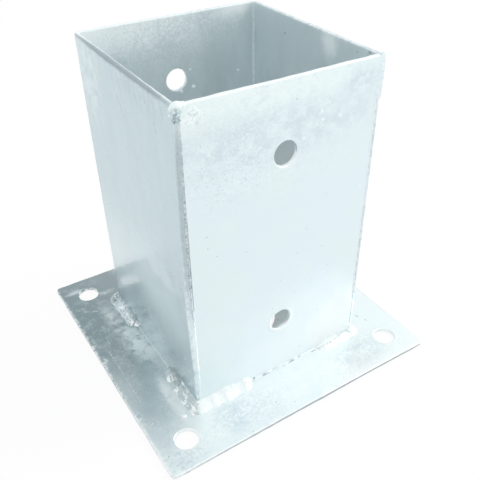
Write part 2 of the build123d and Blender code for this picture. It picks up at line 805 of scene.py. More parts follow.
@dataclass(frozen=True)
class InsideSleeve:
    """The inner faces of the sleeve, or with outside set all that lies round them."""

    outside: bool = False

    def share(self, canvas: NodeCanvas, place: Socket) -> Socket:
        """Share by whether the place lies inside the middle of the sheet.

        Args:
            canvas: the material's tree.
            place: the place on the piece.

        Returns:
            The share.
        """
        middle = LAYOUT.sleeve_half - LAYOUT.sheet / 2
        parts = canvas.split(place)
        far = canvas.math("MAXIMUM", canvas.math("ABSOLUTE", parts[0]), canvas.math("ABSOLUTE", parts[1]))
        return canvas.math("GREATER_THAN" if self.outside else "LESS_THAN", far, middle)


@dataclass(frozen=True)
class RolledEdges:
    """The rolled edges of a sheet and the rims of its holes."""

    low: float = 0.35
    high: float = 0.9

    def share(self, canvas: NodeCanvas, place: Socket) -> Socket:
        """Share by the mesh's own edge_zinc attribute.

        Args:
            canvas: the material's tree.
            place: the place on the piece.

        Returns:
            The share.
        """
        edge = canvas.add("ShaderNodeAttribute", attribute_name="edge_zinc")
        return canvas.remap(edge.outputs["Fac"], self.low, self.high)


@dataclass(frozen=True)
class AnyOf:
    """Wherever one of several masks is."""

    masks: tuple[Mask, ...]

    def share(self, canvas: NodeCanvas, place: Socket) -> Socket:
        """Share of the strongest mask.

        Args:
            canvas: the material's tree.
            place: the place on the piece.

        Returns:
            The share.
        """
        total = self.masks[0].share(canvas, place)
        for mask in self.masks[1:]:
            total = canvas.math("MAXIMUM", total, mask.share(canvas, place))
        return total


@dataclass(frozen=True)
class Layer:
    """One change of the finish, at most by its amount, where all of its masks are; some layers are painted
    light and shade.
    """

    amount: float
    masks: tuple[Mask, ...]
    colour: Colour | None = None
    roughness: float | None = None
    metal: float | None = None

    def strength(self, canvas: NodeCanvas, place: Socket) -> Socket:
        """Share of the layer at a place.

        Args:
            canvas: the material's tree.
            place: the place on the piece.

        Returns:
            The product of its masks, times its amount.
        """
        total = self.masks[0].share(canvas, place)
        for mask in self.masks[1:]:
            total = canvas.math("MULTIPLY", total, mask.share(canvas, place))
        return canvas.math("MULTIPLY", total, self.amount)


@dataclass(frozen=True)
class Gloss:
    """Clear shine over part of a finish, in which the wall mirrors what stands near it."""

    amount: float
    mask: Mask
    roughness: float


@dataclass(frozen=True)
class ZincFinish:
    """Hot-dip zinc coat: an even base, layers that change it, some of them painted light and shade, and a
    relief of waves and grains.
    """

    name: str
    colour: Colour
    roughness: float
    metal: float
    layers: tuple[Layer, ...]
    gloss: Gloss | None = None
    wave_width: float = 3.5
    wave_height: float = 0.03
    grain_width: float = 0.6
    grain_height: float = 0.012

    def relief(self, canvas: NodeCanvas, place: Socket) -> Socket:
        """Height of the waves and the grains, in metres.

        Args:
            canvas: the material's tree.
            place: the place on the piece.

        Returns:
            The height.
        """
        waves = canvas.noise(place, 1.0 / (self.wave_width * MM), 2.0)
        grains = canvas.noise(place, 1.0 / (self.grain_width * MM), 2.0)
        return canvas.math("ADD", canvas.math("MULTIPLY", waves, self.wave_height * MM),
                           canvas.math("MULTIPLY", grains, self.grain_height * MM))

    def material(self) -> Material:
        """Build the material.

        Returns:
            The new material.
        """
        made = bpy.data.materials.new(self.name)
        made.use_nodes = True
        canvas = NodeCanvas(made.node_tree)
        place = canvas.add("ShaderNodeTexCoord").outputs["Object"]
        colour, roughness, metal = self.colour, self.roughness, self.metal
        for layer in self.layers:
            strength = layer.strength(canvas, place)
            if layer.colour is not None:
                colour = canvas.mix(strength, colour, layer.colour)
            if layer.roughness is not None:
                roughness = canvas.mix(strength, roughness, layer.roughness)
            if layer.metal is not None:
                metal = canvas.mix(strength, metal, layer.metal)
        shader = made.node_tree.nodes["Principled BSDF"]
        canvas.feed(shader.inputs["Base Color"], colour)
        canvas.feed(shader.inputs["Roughness"], roughness)
        canvas.feed(shader.inputs["Metallic"], metal)
        if self.gloss is not None:
            shine = canvas.math("MULTIPLY", self.gloss.mask.share(canvas, place), self.gloss.amount)
            canvas.feed(shader.inputs["Coat Weight"], shine)
            canvas.feed(shader.inputs["Coat Roughness"], self.gloss.roughness)
        bump = canvas.add("ShaderNodeBump", Distance=1.0, Height=self.relief(canvas, place))
        canvas.feed(shader.inputs["Normal"], bump.outputs[0])
        return made


# Dark pits in the zinc; the same colour also paints shade into the gaps of the joints.
PIT_AND_GAP_SHADE: Colour = (0.16, 0.21, 0.22)
WHITE_ZINC: Colour = (0.93, 0.97, 0.975)

FRONT_ZINC = ZincFinish("front_zinc", (0.80, 0.905, 0.945), 0.38, 0.9, (
    Layer(0.6, (Mottle(26.0, 0.4, 0.62),), (0.83, 0.925, 0.93), roughness=0.45),
    Layer(0.9, (Patch((-6.0, -47.5, 152.0), (60.0, 4.0, 10.0), 0.8, 0.4), Mottle(5.0, 0.3, 0.5)),
          (0.89, 0.99, 0.985), roughness=0.45),
    Layer(0.85, (Patch((-4.0, -47.5, 134.0), (62.0, 4.0, 12.0), 0.7), Mottle(7.0, 0.34, 0.58)),
          (0.69, 0.79, 0.845), roughness=0.34),
    Layer(0.8, (Patch((37.0, -47.5, 146.0), (11.0, 4.0, 8.0), 0.8, 0.4, 6.0),
                Mottle(4.0, 0.36, 0.6, 4.0, shift=5.7)), (0.67, 0.775, 0.83), roughness=0.34),
    Layer(0.5, (Mottle(1.3, 0.52, 0.66, 2.0), AnyOf((
        Patch((-22.0, -47.5, 133.0), (30.0, 4.0, 30.0)),
        Patch((20.0, -47.5, 146.0), (30.0, 4.0, 12.0)),
    ))), (0.87, 0.98, 1.0), roughness=0.5),
    Layer(0.5, (Veins(5.0, 0.03), Mottle(9.0, 0.42, 0.56, 3.0, shift=1.3),
                Patch((-6.0, -47.5, 132.0), (54.0, 4.0, 34.0), 0.8)),
          (0.90, 1.0, 1.0), roughness=0.5, metal=0.6),
    Layer(0.45, (Veins(2.6, 0.045, 4.0, 5.1), Mottle(12.0, 0.42, 0.58, 3.0, shift=2.9),
                 Patch((-8.0, -47.5, 136.0), (52.0, 4.0, 28.0), 0.8)),
          (0.90, 1.0, 1.0), roughness=0.5, metal=0.6),
    Layer(0.3, (Veins(3.4, 0.03, 4.0, 7.7), Patch((-10.0, -47.5, 134.0), (52.0, 4.0, 30.0), 0.8)),
          (0.62, 0.72, 0.77)),
    Layer(0.35, (Mottle(1.1, 0.54, 0.7, 2.0, shift=3.3),
                 Patch((-26.0, -47.5, 126.0), (22.0, 4.0, 20.0))),
          (0.50, 0.58, 0.61)),
    Layer(0.5, (Patch((22.0, -47.5, 24.0), (34.0, 4.0, 20.0), softness=0.9),), WHITE_ZINC),
    Layer(0.85, (Patch((35.0, -47.5, 12.0), (21.0, 4.0, 22.0), 0.7, 0.3),),
          (0.98, 1.0, 1.0), roughness=0.5, metal=0.4),
    Layer(0.6, (Patch((-12.0, -47.5, 2.0), (44.0, 4.0, 22.0), 0.9, 0.3),),
          (0.93, 0.99, 1.0), roughness=0.5, metal=0.6),
    Layer(0.7, (AnyOf((
        Patch((16.8, -47.5, 138.0), (0.8, 2.0, 1.2), 0.6, 0.5, 2.0),
        Patch((17.6, -47.5, 134.4), (1.0, 2.0, 0.7), 0.6, 0.5, 2.0),
        Patch((26.4, -47.5, 133.9), (0.7, 2.0, 0.6), 0.6, 0.5, 2.0),
        Patch((8.5, -47.5, 128.5), (0.8, 2.0, 0.7), 0.6, 0.5, 2.0),
        Patch((42.2, -47.5, 95.5), (0.5, 2.0, 0.7), 0.6, 0.5, 2.0),
    )),), (0.93, 0.995, 1.0), roughness=0.6, metal=0.2),
    Layer(0.65, (Patch((-41.0, -47.5, 149.5), (5.0, 2.0, 5.0), 0.7, 0.5, 3.0),
                 Mottle(1.8, 0.42, 0.56, 3.0)),
          (0.95, 1.0, 1.0), roughness=0.6, metal=0.1),
    Layer(0.5, (Patch((-40.0, -47.5, 150.0), (5.0, 2.0, 5.0), 0.7, 0.5, 3.0),
                Mottle(1.4, 0.52, 0.6, 3.0, shift=4.0)), (0.55, 0.64, 0.67)),
    # Whiter zinc on the rolled edges, which is also a painted highlight along them.
    Layer(0.6, (RolledEdges(0.55, 0.95), Mottle(4.0, 0.35, 0.55)), WHITE_ZINC, roughness=0.3),
    Layer(0.7, (Dots(3.6, 0.42, 0.35, 1.1),), (1.0, 1.0, 1.0), roughness=0.6, metal=0.3),
    Layer(0.4, (Dots(4.6, 0.4, 0.2, 2.2),), PIT_AND_GAP_SHADE, roughness=0.6),
    # Painted shade: a dark spot in the gap of the joint at the foot of the front plate.
    Layer(0.85, (Patch((-15.2, -48.2, 2.8), (0.8, 1.2, 0.9), 0.5, 0.4, 2.0),),
          PIT_AND_GAP_SHADE, roughness=0.6),
    # Painted light: the inner face made lighter to lift the shade inside the sleeve.
    Layer(1.0, (InsideSleeve(),), (0.92, 0.97, 0.98), roughness=0.5, metal=0.3),
    # Painted highlight: a white spot on the wall of a cross-bolt hole, low on its right.
    Layer(0.9, (Patch((4.8, -46.4, 121.4), (1.6, 1.0, 2.6), 0.4, 0.5, 1.6),),
          (0.96, 1.0, 1.0), roughness=0.5, metal=0.0),
))

# The base is darker than the front coat's: painted shade of the left wall, which faces away from the key
# lamp.
CHANNEL_ZINC = ZincFinish("channel_zinc", (0.565, 0.693, 0.735), 0.26, 0.75, (
    Layer(0.5, (Mottle(14.0, 0.4, 0.62, 3.0, (1.0, 1.0, 5.0)),), (0.542, 0.66, 0.697)),
    Layer(0.22, (Mottle(5.0, 0.48, 0.66, 3.0, (1.0, 1.0, 1.6), 1.7),), (0.65, 0.75, 0.78)),
    Layer(0.25, (Mottle(1.2, 0.54, 0.7, 2.0),), (0.48, 0.57, 0.60)),
    Layer(0.7, (Patch((-47.5, 36.0, 142.0), (4.0, 16.0, 24.0), softness=0.8),
                Mottle(6.0, 0.36, 0.58)),
          (0.74, 0.84, 0.87)),
    Layer(0.35, (Patch((-47.5, -16.0, 149.0), (4.0, 34.0, 6.0), 0.8, 0.6),
                 Mottle(3.0, 0.42, 0.6, 4.0, (1.0, 1.0, 3.0))), (0.43, 0.53, 0.57)),
    # Painted reflection: lighter and darker patches on the lower left wall, where it mirrors the bright and
    # the dark parts of the plate.
    Layer(0.65, (Patch((-47.5, -20.0, 50.0), (4.0, 42.0, 26.0), 0.9, 0.2),),
          (0.74, 0.885, 0.925), metal=0.1, roughness=0.4),
    Layer(0.3, (Patch((-47.5, -22.0, 24.0), (3.0, 26.0, 30.0), 0.8, 0.2),
                Mottle(5.0, 0.46, 0.66, 5.0, (1.0, 1.0, 2.0), 6.1)), (0.80, 0.90, 0.92)),
    Layer(0.45, (Patch((-47.5, 34.0, 40.0), (4.0, 20.0, 32.0), 0.9, 0.2),),
          (0.80, 0.92, 0.945), metal=0.1, roughness=0.4),
    Layer(0.6, (Patch((-47.5, -1.9, 27.0), (3.0, 2.2, 6.0), 0.8, 0.2),), (0.85, 0.93, 0.95)),
    Layer(0.3, (Patch((-47.5, -28.0, 20.0), (3.0, 17.0, 18.0), 0.9, 0.4, 7.0),),
          (0.36, 0.46, 0.50)),
    Layer(1.0, (InsideSleeve(),), (0.76, 0.845, 0.87), roughness=0.5, metal=0.5),
    Layer(0.45, (InsideSleeve(), Mottle(9.0, 0.44, 0.62, 4.0, (1.0, 1.0, 2.0))),
          (0.66, 0.75, 0.78)),
    # Painted light: the lower inside of the sleeve made near white to lift its shade.
    Layer(0.9, (InsideSleeve(), Patch((0.0, 0.0, 0.0), (90.0, 90.0, 118.0), 0.3, 0.0)),
          (0.98, 1.0, 1.0), metal=0.0, roughness=0.6),
    # Painted light: near white patches along the top of the back wall's inner face, where light falls in
    # over the right rim.
    Layer(1.0, (Patch((-36.0, 45.5, 154.0), (44.0, 4.0, 12.0), 0.9, 0.35), InsideSleeve()),
          (0.93, 0.995, 1.0), metal=0.0, roughness=0.6),
    Layer(0.85, (Patch((-14.0, 45.5, 154.0), (62.0, 4.0, 15.0), 0.9, 0.5), InsideSleeve(),
                 Mottle(1.5, 0.44, 0.62, 4.0)), (0.93, 0.995, 1.0), metal=0.0, roughness=0.6),
    Layer(0.45, (Patch((-4.0, 45.5, 144.0), (46.0, 4.0, 20.0), 0.9, 0.3), InsideSleeve(),
                 Mottle(0.9, 0.48, 0.6, 2.0, shift=9.0)), (0.60, 0.70, 0.73)),
    # Painted light: another near white patch at the top right of the back wall's inner face.
    Layer(0.7, (Patch((34.0, 45.5, 154.0), (13.0, 4.0, 5.0), 0.9, 0.35), InsideSleeve()),
          (0.93, 0.995, 1.0), metal=0.0, roughness=0.6),
    # Painted shade: a darker band on the right part of the back wall's inner face.
    Layer(0.3, (Patch((22.0, 45.5, 128.0), (9.0, 4.0, 34.0), 0.9, 0.3), InsideSleeve()),
          (0.52, 0.62, 0.65)),
    # Painted highlight: a bright line along the inner fold of the back right corner.
    Layer(0.7, (StraightMark((45.2, 45.0, 155.5), (45.2, 45.0, 90.0), 0.7, 0.38),), (0.9, 1.0, 1.0),
          metal=0.2),
    # Painted shade: the upper part of the right wall's inner face darkened.
    Layer(0.7, (InsideSleeve(), Patch((45.5, 0.0, 160.0), (6.0, 60.0, 34.0), 0.9, 0.2)),
          (0.55, 0.65, 0.68)),
    Layer(0.7, (Patch((45.5, -15.0, 151.0), (4.0, 6.0, 7.0), 0.9, 0.4, 4.0), InsideSleeve()),
          (0.93, 1.0, 1.0), metal=0.1),
    Layer(0.7, (InsideSleeve(), AnyOf((
        Patch((45.5, 18.1, 146.4), (3.0, 0.7, 0.6), 0.5, 0.4, 2.0),
        Patch((45.5, -33.2, 152.0), (3.0, 0.5, 0.5), 0.5, 0.4, 2.0),
        Patch((45.5, -40.8, 154.0), (3.0, 0.9, 0.5), 0.5, 0.4, 2.0),
    ))), (0.25, 0.32, 0.34)),
    # Lighter zinc on the rolled edges, which is also a painted highlight along them.
    Layer(0.6, (RolledEdges(), Mottle(3.0, 0.4, 0.56)), (0.85, 0.92, 0.94)),
    # Painted shade: the top of the left wall's rim, and a line under its outer edge, darkened.
    Layer(0.9, (Patch((-47.5, 0.0, 154.9), (1.6, 50.0, 1.6), 0.35, 0.15, 5.0),),
          (0.34, 0.42, 0.45), roughness=0.45),
    Layer(0.5, (Patch((-48.0, 0.0, 153.6), (1.5, 47.0, 1.0), 0.5, 0.5, 3.0), Mottle(2.5, 0.42, 0.54)),
          (0.30, 0.38, 0.41), roughness=0.4),
    # Painted shade: a darker band down the left front corner.
    Layer(0.8, (Patch((-46.8, -47.9, 108.0), (2.2, 1.6, 52.0), 0.4, 0.2),),
          (0.44, 0.525, 0.555), roughness=0.4),
    Layer(0.25, (Patch((-46.3, -47.9, 108.0), (1.6, 1.6, 54.0), 0.4, 0.2),
                 Mottle(0.9, 0.55, 0.62, 2.0)),
          PIT_AND_GAP_SHADE),
    Layer(0.8, (InsideSleeve(outside=True), Dots(4.4, 0.45, 0.3, 0.6)), PIT_AND_GAP_SHADE, roughness=0.6),
    Layer(0.6, (Dots(4.0, 0.35, 0.3, 4.1),), WHITE_ZINC, roughness=0.6, metal=0.3),
    Layer(0.7, (AnyOf((
        StraightMark((-47.5, -30.6, 142.5), (-47.5, -31.8, 138.5)),
        StraightMark((-47.5, -38.8, 109.0), (-47.5, -40.6, 105.5)),
        StraightMark((-47.5, -24.0, 151.0), (-47.5, -24.6, 148.0)),
        StraightMark((-47.5, 4.0, 142.0), (-47.5, -2.0, 134.0)),
    )),), PIT_AND_GAP_SHADE),
), gloss=Gloss(0.52, Patch((-48.5, 0.0, 20.0), (4.0, 90.0, 62.0), 0.5, 0.1), 0.07))

PLATE_ZINC = ZincFinish("plate_zinc", (0.895, 0.945, 0.95), 0.3, 0.9, (
    Layer(0.45, (Mottle(9.0, 0.42, 0.62),), (0.83, 0.90, 0.915)),
    # Painted shade and dark reflection: the left and back left of the plate darkened.
    Layer(0.8, (Patch((-71.0, 10.0, 2.0), (25.0, 70.0, 6.0), 0.45, 0.15, 14.0),),
          (0.40, 0.485, 0.51), roughness=0.17, metal=1.0),
    Layer(0.85, (Patch((-60.0, 52.0, 2.0), (34.0, 74.0, 6.0), 0.5, 0.2),),
          (0.19, 0.26, 0.28), roughness=0.16),
    Layer(0.4, (Patch((-66.0, 20.0, 2.0), (20.0, 80.0, 6.0), 0.3), Mottle(3.6, 0.46, 0.68, 5.0)),
          (0.44, 0.54, 0.57), roughness=0.35),
    # Painted light: the plate inside the sleeve made near white to lift the shade that falls there.
    Layer(1.0, (InsideSleeve(),), (0.96, 1.0, 1.0), roughness=0.5, metal=0.1),
    Layer(0.7, (Patch((-30.0, -61.0, 2.0), (34.0, 15.0, 4.0), 0.8, 0.3),),
          (0.96, 1.0, 1.0), metal=0.6, roughness=0.4),
    Layer(0.6, (Patch((60.0, -48.0, 2.0), (28.0, 34.0, 4.0), 0.8, 0.2),), (0.80, 0.93, 0.945)),
    Layer(0.4, (AnyOf((
        Patch((-35.0, -58.0, 2.0), (9.0, 6.0, 4.0), 0.8, 0.5, 6.0),
        Patch((-37.0, -66.0, 2.0), (6.0, 6.0, 4.0), 0.8, 0.5, 6.0),
        Patch((42.0, -64.0, 2.0), (15.0, 8.0, 4.0), 0.7, 0.4, 6.0),
    )), Mottle(4.5, 0.34, 0.56, 5.0)), (0.55, 0.68, 0.74)),
    Layer(0.4, (Veins(3.0, 0.05, 4.0, 2.2), AnyOf((
        Patch((-30.0, -62.0, 2.0), (24.0, 12.0, 4.0), 0.7),
        Patch((42.0, -62.0, 2.0), (24.0, 12.0, 4.0), 0.7),
    ))), (0.52, 0.62, 0.66)),
    Layer(0.12, (Mottle(1.4, 0.5, 0.64, 3.0, shift=6.6),
                 Patch((10.0, -62.0, 2.0), (70.0, 14.0, 4.0), 0.7)),
          (0.58, 0.68, 0.72)),
    Layer(0.7, (Patch((-52.0, 7.0, 2.0), (7.0, 15.0, 4.0), 0.9, 0.4, 6.0),
                Mottle(5.0, 0.3, 0.52, 4.0)),
          (0.84, 0.93, 0.95), roughness=0.42, metal=0.45),
    Layer(0.65, (AnyOf((
        Patch((-52.0, 8.0, 2.0), (8.0, 22.0, 4.0), 0.9, 0.5, 6.0),
        Patch((-55.0, 22.0, 2.0), (6.0, 12.0, 4.0), 0.9, 0.5, 4.0),
        Patch((-56.5, 33.0, 2.0), (5.0, 13.0, 4.0), 0.9, 0.5, 5.0),
        Patch((-66.9, 65.7, 2.0), (6.0, 2.0, 4.0), 0.8, 0.5, 4.0),
        Patch((-52.0, 56.5, 2.0), (6.0, 1.8, 4.0), 0.8, 0.5, 4.0),
    )), Mottle(5.0, 0.3, 0.62, 5.0)), (0.76, 0.86, 0.88), roughness=0.4, metal=0.7),
    Layer(0.95, (Patch((-54.8, -36.0, 2.0), (3.4, 16.0, 4.0), 0.6, 0.25, 5.0),
                 Mottle(3.0, 0.2, 0.5, 4.0)),
          (0.90, 0.97, 0.98), roughness=0.45, metal=0.3),
    Layer(0.75, (AnyOf((
        Patch((-75.0, 0.0, 2.0), (1.5, 80.0, 4.0), 0.7, 0.4, 6.0),
        Patch((-73.9, 20.0, 2.0), (2.2, 3.0, 4.0), 0.7, 0.4, 3.0),
        Patch((-73.2, 5.0, 2.0), (1.8, 3.0, 4.0), 0.7, 0.4, 3.0),
        Patch((-73.4, -39.0, 2.0), (2.0, 6.0, 4.0), 0.7, 0.4, 3.0),
        Patch((-69.0, -69.0, 2.0), (11.0, 11.0, 4.0), 0.8, 0.4),
    )), Mottle(2.8, 0.42, 0.62, 4.0)), (0.82, 0.90, 0.92), roughness=0.45, metal=0.7),
    Layer(0.6, (Patch((-67.0, -70.0, 2.0), (14.0, 11.0, 4.0), 0.9, 0.4),
                Mottle(1.7, 0.48, 0.62, 4.0, shift=8.0)), (0.60, 0.69, 0.72)),
    Layer(0.5, (Mottle(0.8, 0.64, 0.72, 2.0), Patch((-66.0, 8.0, 2.0), (12.0, 60.0, 4.0))),
          WHITE_ZINC, roughness=0.5, metal=0.5),
    Layer(0.7, (AnyOf((
        StraightMark((-68.5, 10.0, 2.0), (-69.0, -32.0, 2.0), 0.45, 0.4),
        StraightMark((-64.0, 30.0, 2.0), (-68.0, 3.0, 2.0), 0.3, 0.44),
        StraightMark((-68.0, 46.5, 2.0), (-60.0, 42.6, 2.0), 0.45, 0.4),
        StraightMark((-62.0, 12.0, 2.0), (-66.0, -16.0, 2.0), 0.3, 0.46),
        StraightMark((-63.0, -30.0, 2.0), (-58.0, -52.0, 2.0), 0.3, 0.46),
    )),), (0.66, 0.76, 0.79), roughness=0.5, metal=0.5),
    Layer(0.75, (AnyOf((
        StraightMark((24.0, -69.8, 2.0), (27.5, -69.2, 2.0), 0.3, 0.3),
        StraightMark((-38.0, -60.0, 2.0), (-24.0, -63.5, 2.0), 0.3, 0.5),
    )),), (0.45, 0.52, 0.56)),
    # Whiter zinc on the rolled edges and hole rims, which is also a painted highlight along them.
    Layer(0.65, (RolledEdges(0.75, 0.98), Mottle(2.6, 0.38, 0.54)), WHITE_ZINC, roughness=0.35),
    Layer(0.5, (AnyOf((
        Patch((58.6, -40.4, 2.0), (0.7, 1.4, 1.0), 0.5, 0.5, 2.0),
        Patch((53.6, -38.2, 2.0), (0.5, 0.8, 1.0), 0.5, 0.5, 2.0),
        Patch((60.6, -45.4, 2.0), (0.6, 0.8, 1.0), 0.5, 0.5, 2.0),
    )),), (0.40, 0.48, 0.52)),
    # Painted shade: the front and right side faces of the plate darkened where they meet the table.
    Layer(0.85, (Patch((10.0, -75.4, 0.2), (95.0, 1.2, 1.7), 0.3, 0.2, 4.0),),
          (0.34, 0.40, 0.43), roughness=0.5),
    Layer(0.7, (Patch((75.2, 0.0, 1.8), (0.9, 95.0, 2.0), 0.3, 0.2, 4.0),),
          (0.55, 0.63, 0.65), roughness=0.5),
    # Painted shade: dark dashes in the gaps of the front joint; the last mark runs along the toe of the
    # right front weld.
    Layer(0.8, (AnyOf((
        StraightMark((-10.4, -48.0, 2.2), (-6.1, -48.0, 2.2), 0.7, 0.34),
        StraightMark((2.2, -48.0, 2.2), (3.4, -48.0, 2.2), 0.7, 0.2),
        StraightMark((5.8, -48.0, 2.2), (11.0, -48.0, 2.2), 0.7, 0.3),
        StraightMark((20.8, -48.0, 2.2), (22.6, -48.0, 2.2), 0.9, 0.2),
        StraightMark((-17.4, -48.0, 2.2), (-16.6, -48.0, 2.2), 0.8, 0.2),
        StraightMark((26.0, -50.5, 2.2), (40.0, -52.0, 2.2), 0.3, 0.44),
    )),), (0.28, 0.35, 0.37)),
    # Painted shade: the left side face of the plate darkened where it meets the table.
    Layer(0.8, (Patch((-75.5, 0.0, 0.6), (0.9, 90.0, 1.5), 0.3, 0.2, 4.0),),
          (0.42, 0.50, 0.53), roughness=0.5),
    Layer(0.5, (Dots(3.8, 0.45, 0.3, 0.9),), PIT_AND_GAP_SHADE, roughness=0.6),
))

WELD_ZINC = ZincFinish("weld_zinc", (0.88, 0.945, 0.95), 0.42, 0.6, (
    Layer(0.25, (Mottle(2.0, 0.5, 0.64, 3.0),), (0.72, 0.80, 0.83), roughness=0.3),
    # Painted shade: the welds along the left wall greyed like the shaded left of the plate.
    Layer(0.9, (Patch((-55.0, 8.0, 4.0), (10.0, 84.0, 11.0), 0.15, 0.05),),
          (0.42, 0.52, 0.55), roughness=0.25, metal=0.9),
    Layer(0.9, (Patch((-55.0, 8.0, 4.0), (10.0, 84.0, 11.0), 0.15, 0.05),
                Mottle(2.4, 0.5, 0.6, 3.0, (1.0, 2.2, 1.0), 2.6)), WHITE_ZINC, roughness=0.4),
    # Painted shadow: a dark line where the left welds meet the wall.
    Layer(0.75, (Patch((-47.6, 0.0, 5.2), (1.4, 60.0, 1.6), 0.6, 0.5, 3.0),
                 Mottle(1.6, 0.44, 0.54, 3.0)),
          (0.22, 0.29, 0.31), roughness=0.5),
    Layer(0.95, (AnyOf((
        Patch((-44.6, -51.2, 4.0), (0.8, 0.9, 0.8), 0.4, 0.4, 1.5),
        Patch((-16.2, -48.6, 2.6), (0.9, 0.9, 0.9), 0.4, 0.4, 1.5),
        Patch((-50.0, 18.6, 2.8), (1.2, 1.2, 1.0), 0.4, 0.5, 1.5),
        Patch((-49.6, 45.0, 3.2), (1.2, 1.4, 1.0), 0.4, 0.5, 1.5),
    )),), PIT_AND_GAP_SHADE, roughness=0.6),
    Layer(0.8, (Patch((-46.0, -47.4, 153.4), (5.0, 4.0, 5.6), 0.5, 0.2),),
          (0.88, 0.975, 0.985), metal=0.6),
    Layer(0.8, (Patch((-47.6, -48.4, 150.2), (4.4, 3.4, 4.2), 0.5, 0.3, 2.5),),
          (0.55, 0.67, 0.71), roughness=0.35, metal=0.8),
    Layer(0.6, (Patch((-47.6, -48.4, 150.6), (4.4, 3.4, 4.4), 0.5, 0.5, 2.5),
                Mottle(1.5, 0.5, 0.58, 3.0, shift=4.4)), (0.80, 0.94, 0.97)),
    Layer(0.8, (Patch((-47.2, -48.4, 150.2), (4.0, 3.0, 4.0), 0.5, 0.5, 2.5),
                Veins(1.5, 0.1, 3.0, 1.7)),
          (0.22, 0.30, 0.33)),
    Layer(0.9, (Patch((-47.5, -48.4, 149.5), (0.7, 1.0, 0.5), 0.4, 0.3, 2.0),), PIT_AND_GAP_SHADE),
    Layer(0.6, (Patch((-51.0, 33.0, 3.5), (5.0, 12.0, 5.0), 0.8, 0.5, 4.0),
                Mottle(2.2, 0.4, 0.6, 3.0)),
          (0.72, 0.83, 0.86), roughness=0.35, metal=0.8),
    Layer(0.8, (AnyOf((
        Patch((-49.4, -27.0, 5.0), (2.4, 7.0, 2.6), 0.5, 0.4),
        Patch((-50.0, 45.5, 3.6), (3.4, 3.0, 3.2), 0.5, 0.4),
        Patch((-50.4, 22.0, 3.2), (2.8, 2.6, 3.0), 0.5, 0.4),
    )), Mottle(1.3, 0.48, 0.54, 2.0)), (0.25, 0.32, 0.34), roughness=0.5),
    Layer(0.5, (AnyOf((
        StraightMark((24.4, -48.8, 2.2), (33.4, -49.3, 3.6), 0.9, 0.34),
        StraightMark((33.4, -49.3, 3.6), (41.2, -48.0, 5.0), 0.9, 0.34),
        StraightMark((41.2, -48.0, 5.0), (44.2, -47.8, 4.7), 0.9, 0.34),
        StraightMark((44.2, -47.8, 4.7), (46.9, -49.9, 2.7), 0.8, 0.36),
    )),), (0.45, 0.53, 0.56)),
    Layer(0.85, (Patch((-54.0, -49.0, 2.6), (4.0, 2.8, 2.4), 0.3, 0.1),),
          WHITE_ZINC, metal=0.2),
    Layer(1.0, (InsideSleeve(),), metal=0.2),
    Layer(0.6, (Dots(2.6, 0.4, 0.25, 0.3),), PIT_AND_GAP_SHADE, roughness=0.6),
))

SEAM_ZINC = ZincFinish("seam_zinc", (0.80, 0.885, 0.91), 0.34, 0.85, (
    # Painted shade: a darker band down the left front seam.
    Layer(0.85, (Patch((-46.5, -47.5, 108.0), (3.0, 3.0, 54.0), 0.4, 0.15),),
          (0.46, 0.545, 0.575), roughness=0.4),
    Layer(0.5, (Patch((-46.5, -47.5, 110.0), (3.0, 3.0, 54.0), 0.4, 0.15),
                Mottle(1.0, 0.53, 0.61, 2.0)),
          PIT_AND_GAP_SHADE),
    Layer(0.4, (Mottle(1.6, 0.5, 0.62, 3.0, shift=2.0),), WHITE_ZINC),
    Layer(0.8, (Dots(2.6, 0.35, 0.2, 0.3),), PIT_AND_GAP_SHADE, roughness=0.6),
))


def hand_over(piece: bpy.types.Object, slot: Slot, *nodes: str) -> None:
    """Let a finished piece ride on the base, hide the CAD nodes that it stands for and report it.

    Args:
        piece: the piece.
        slot: not used.
        nodes: CAD nodes that it stands for.
    """
    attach(piece, "root")
    if nodes:
        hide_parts(*nodes)
    triangles = sum(len(face.vertices) - 2 for face in piece.data.polygons)
    LOG.info("%s: %d triangles", piece.name, triangles)


def cross_holes(u: float, collar: float) -> tuple[PunchedHole, ...]:
    """The two cross-bolt holes of one wall.

    Args:
        u: their place along the wall.
        collar: height of their zinc collars.

    Returns:
        The lower and the upper hole.
    """
    heights = (LAYOUT.lower_hole_z, LAYOUT.upper_hole_z)
    return tuple(PunchedHole(u, z, LAYOUT.hole_radius, collar) for z in heights)


@dataclass
class DippedSheet(ABC):
    """One sheet of the base under its coat of zinc."""

    name: str
    node: str
    relief: CoatRelief

    @abstractmethod
    def mesher(self) -> SheetMesher:
        """How the flat sheet is cut and meshed."""

    @abstractmethod
    def place(self, u: np.ndarray, v: np.ndarray, w: np.ndarray) -> np.ndarray:
        """Put the flat sheet in its place on the base.

        Args:
            u: places along the sheet, in its first direction.
            v: places along it, in its second direction.
            w: places outward from its middle.

        Returns:
            Rows of x, y and z.
        """

    def build(self, finish: Material) -> bpy.types.Object:
        """Mesh and dress the sheet.

        Args:
            finish: material of the coat.

        Returns:
            The finished piece.
        """
        mesh = self.mesher().build(self.name, self.place)
        self.relief.apply(mesh)
        mesh.materials.append(finish)
        piece = new_object(self.name, mesh)
        hand_over(piece, Slot.SHEET, self.node)
        return piece


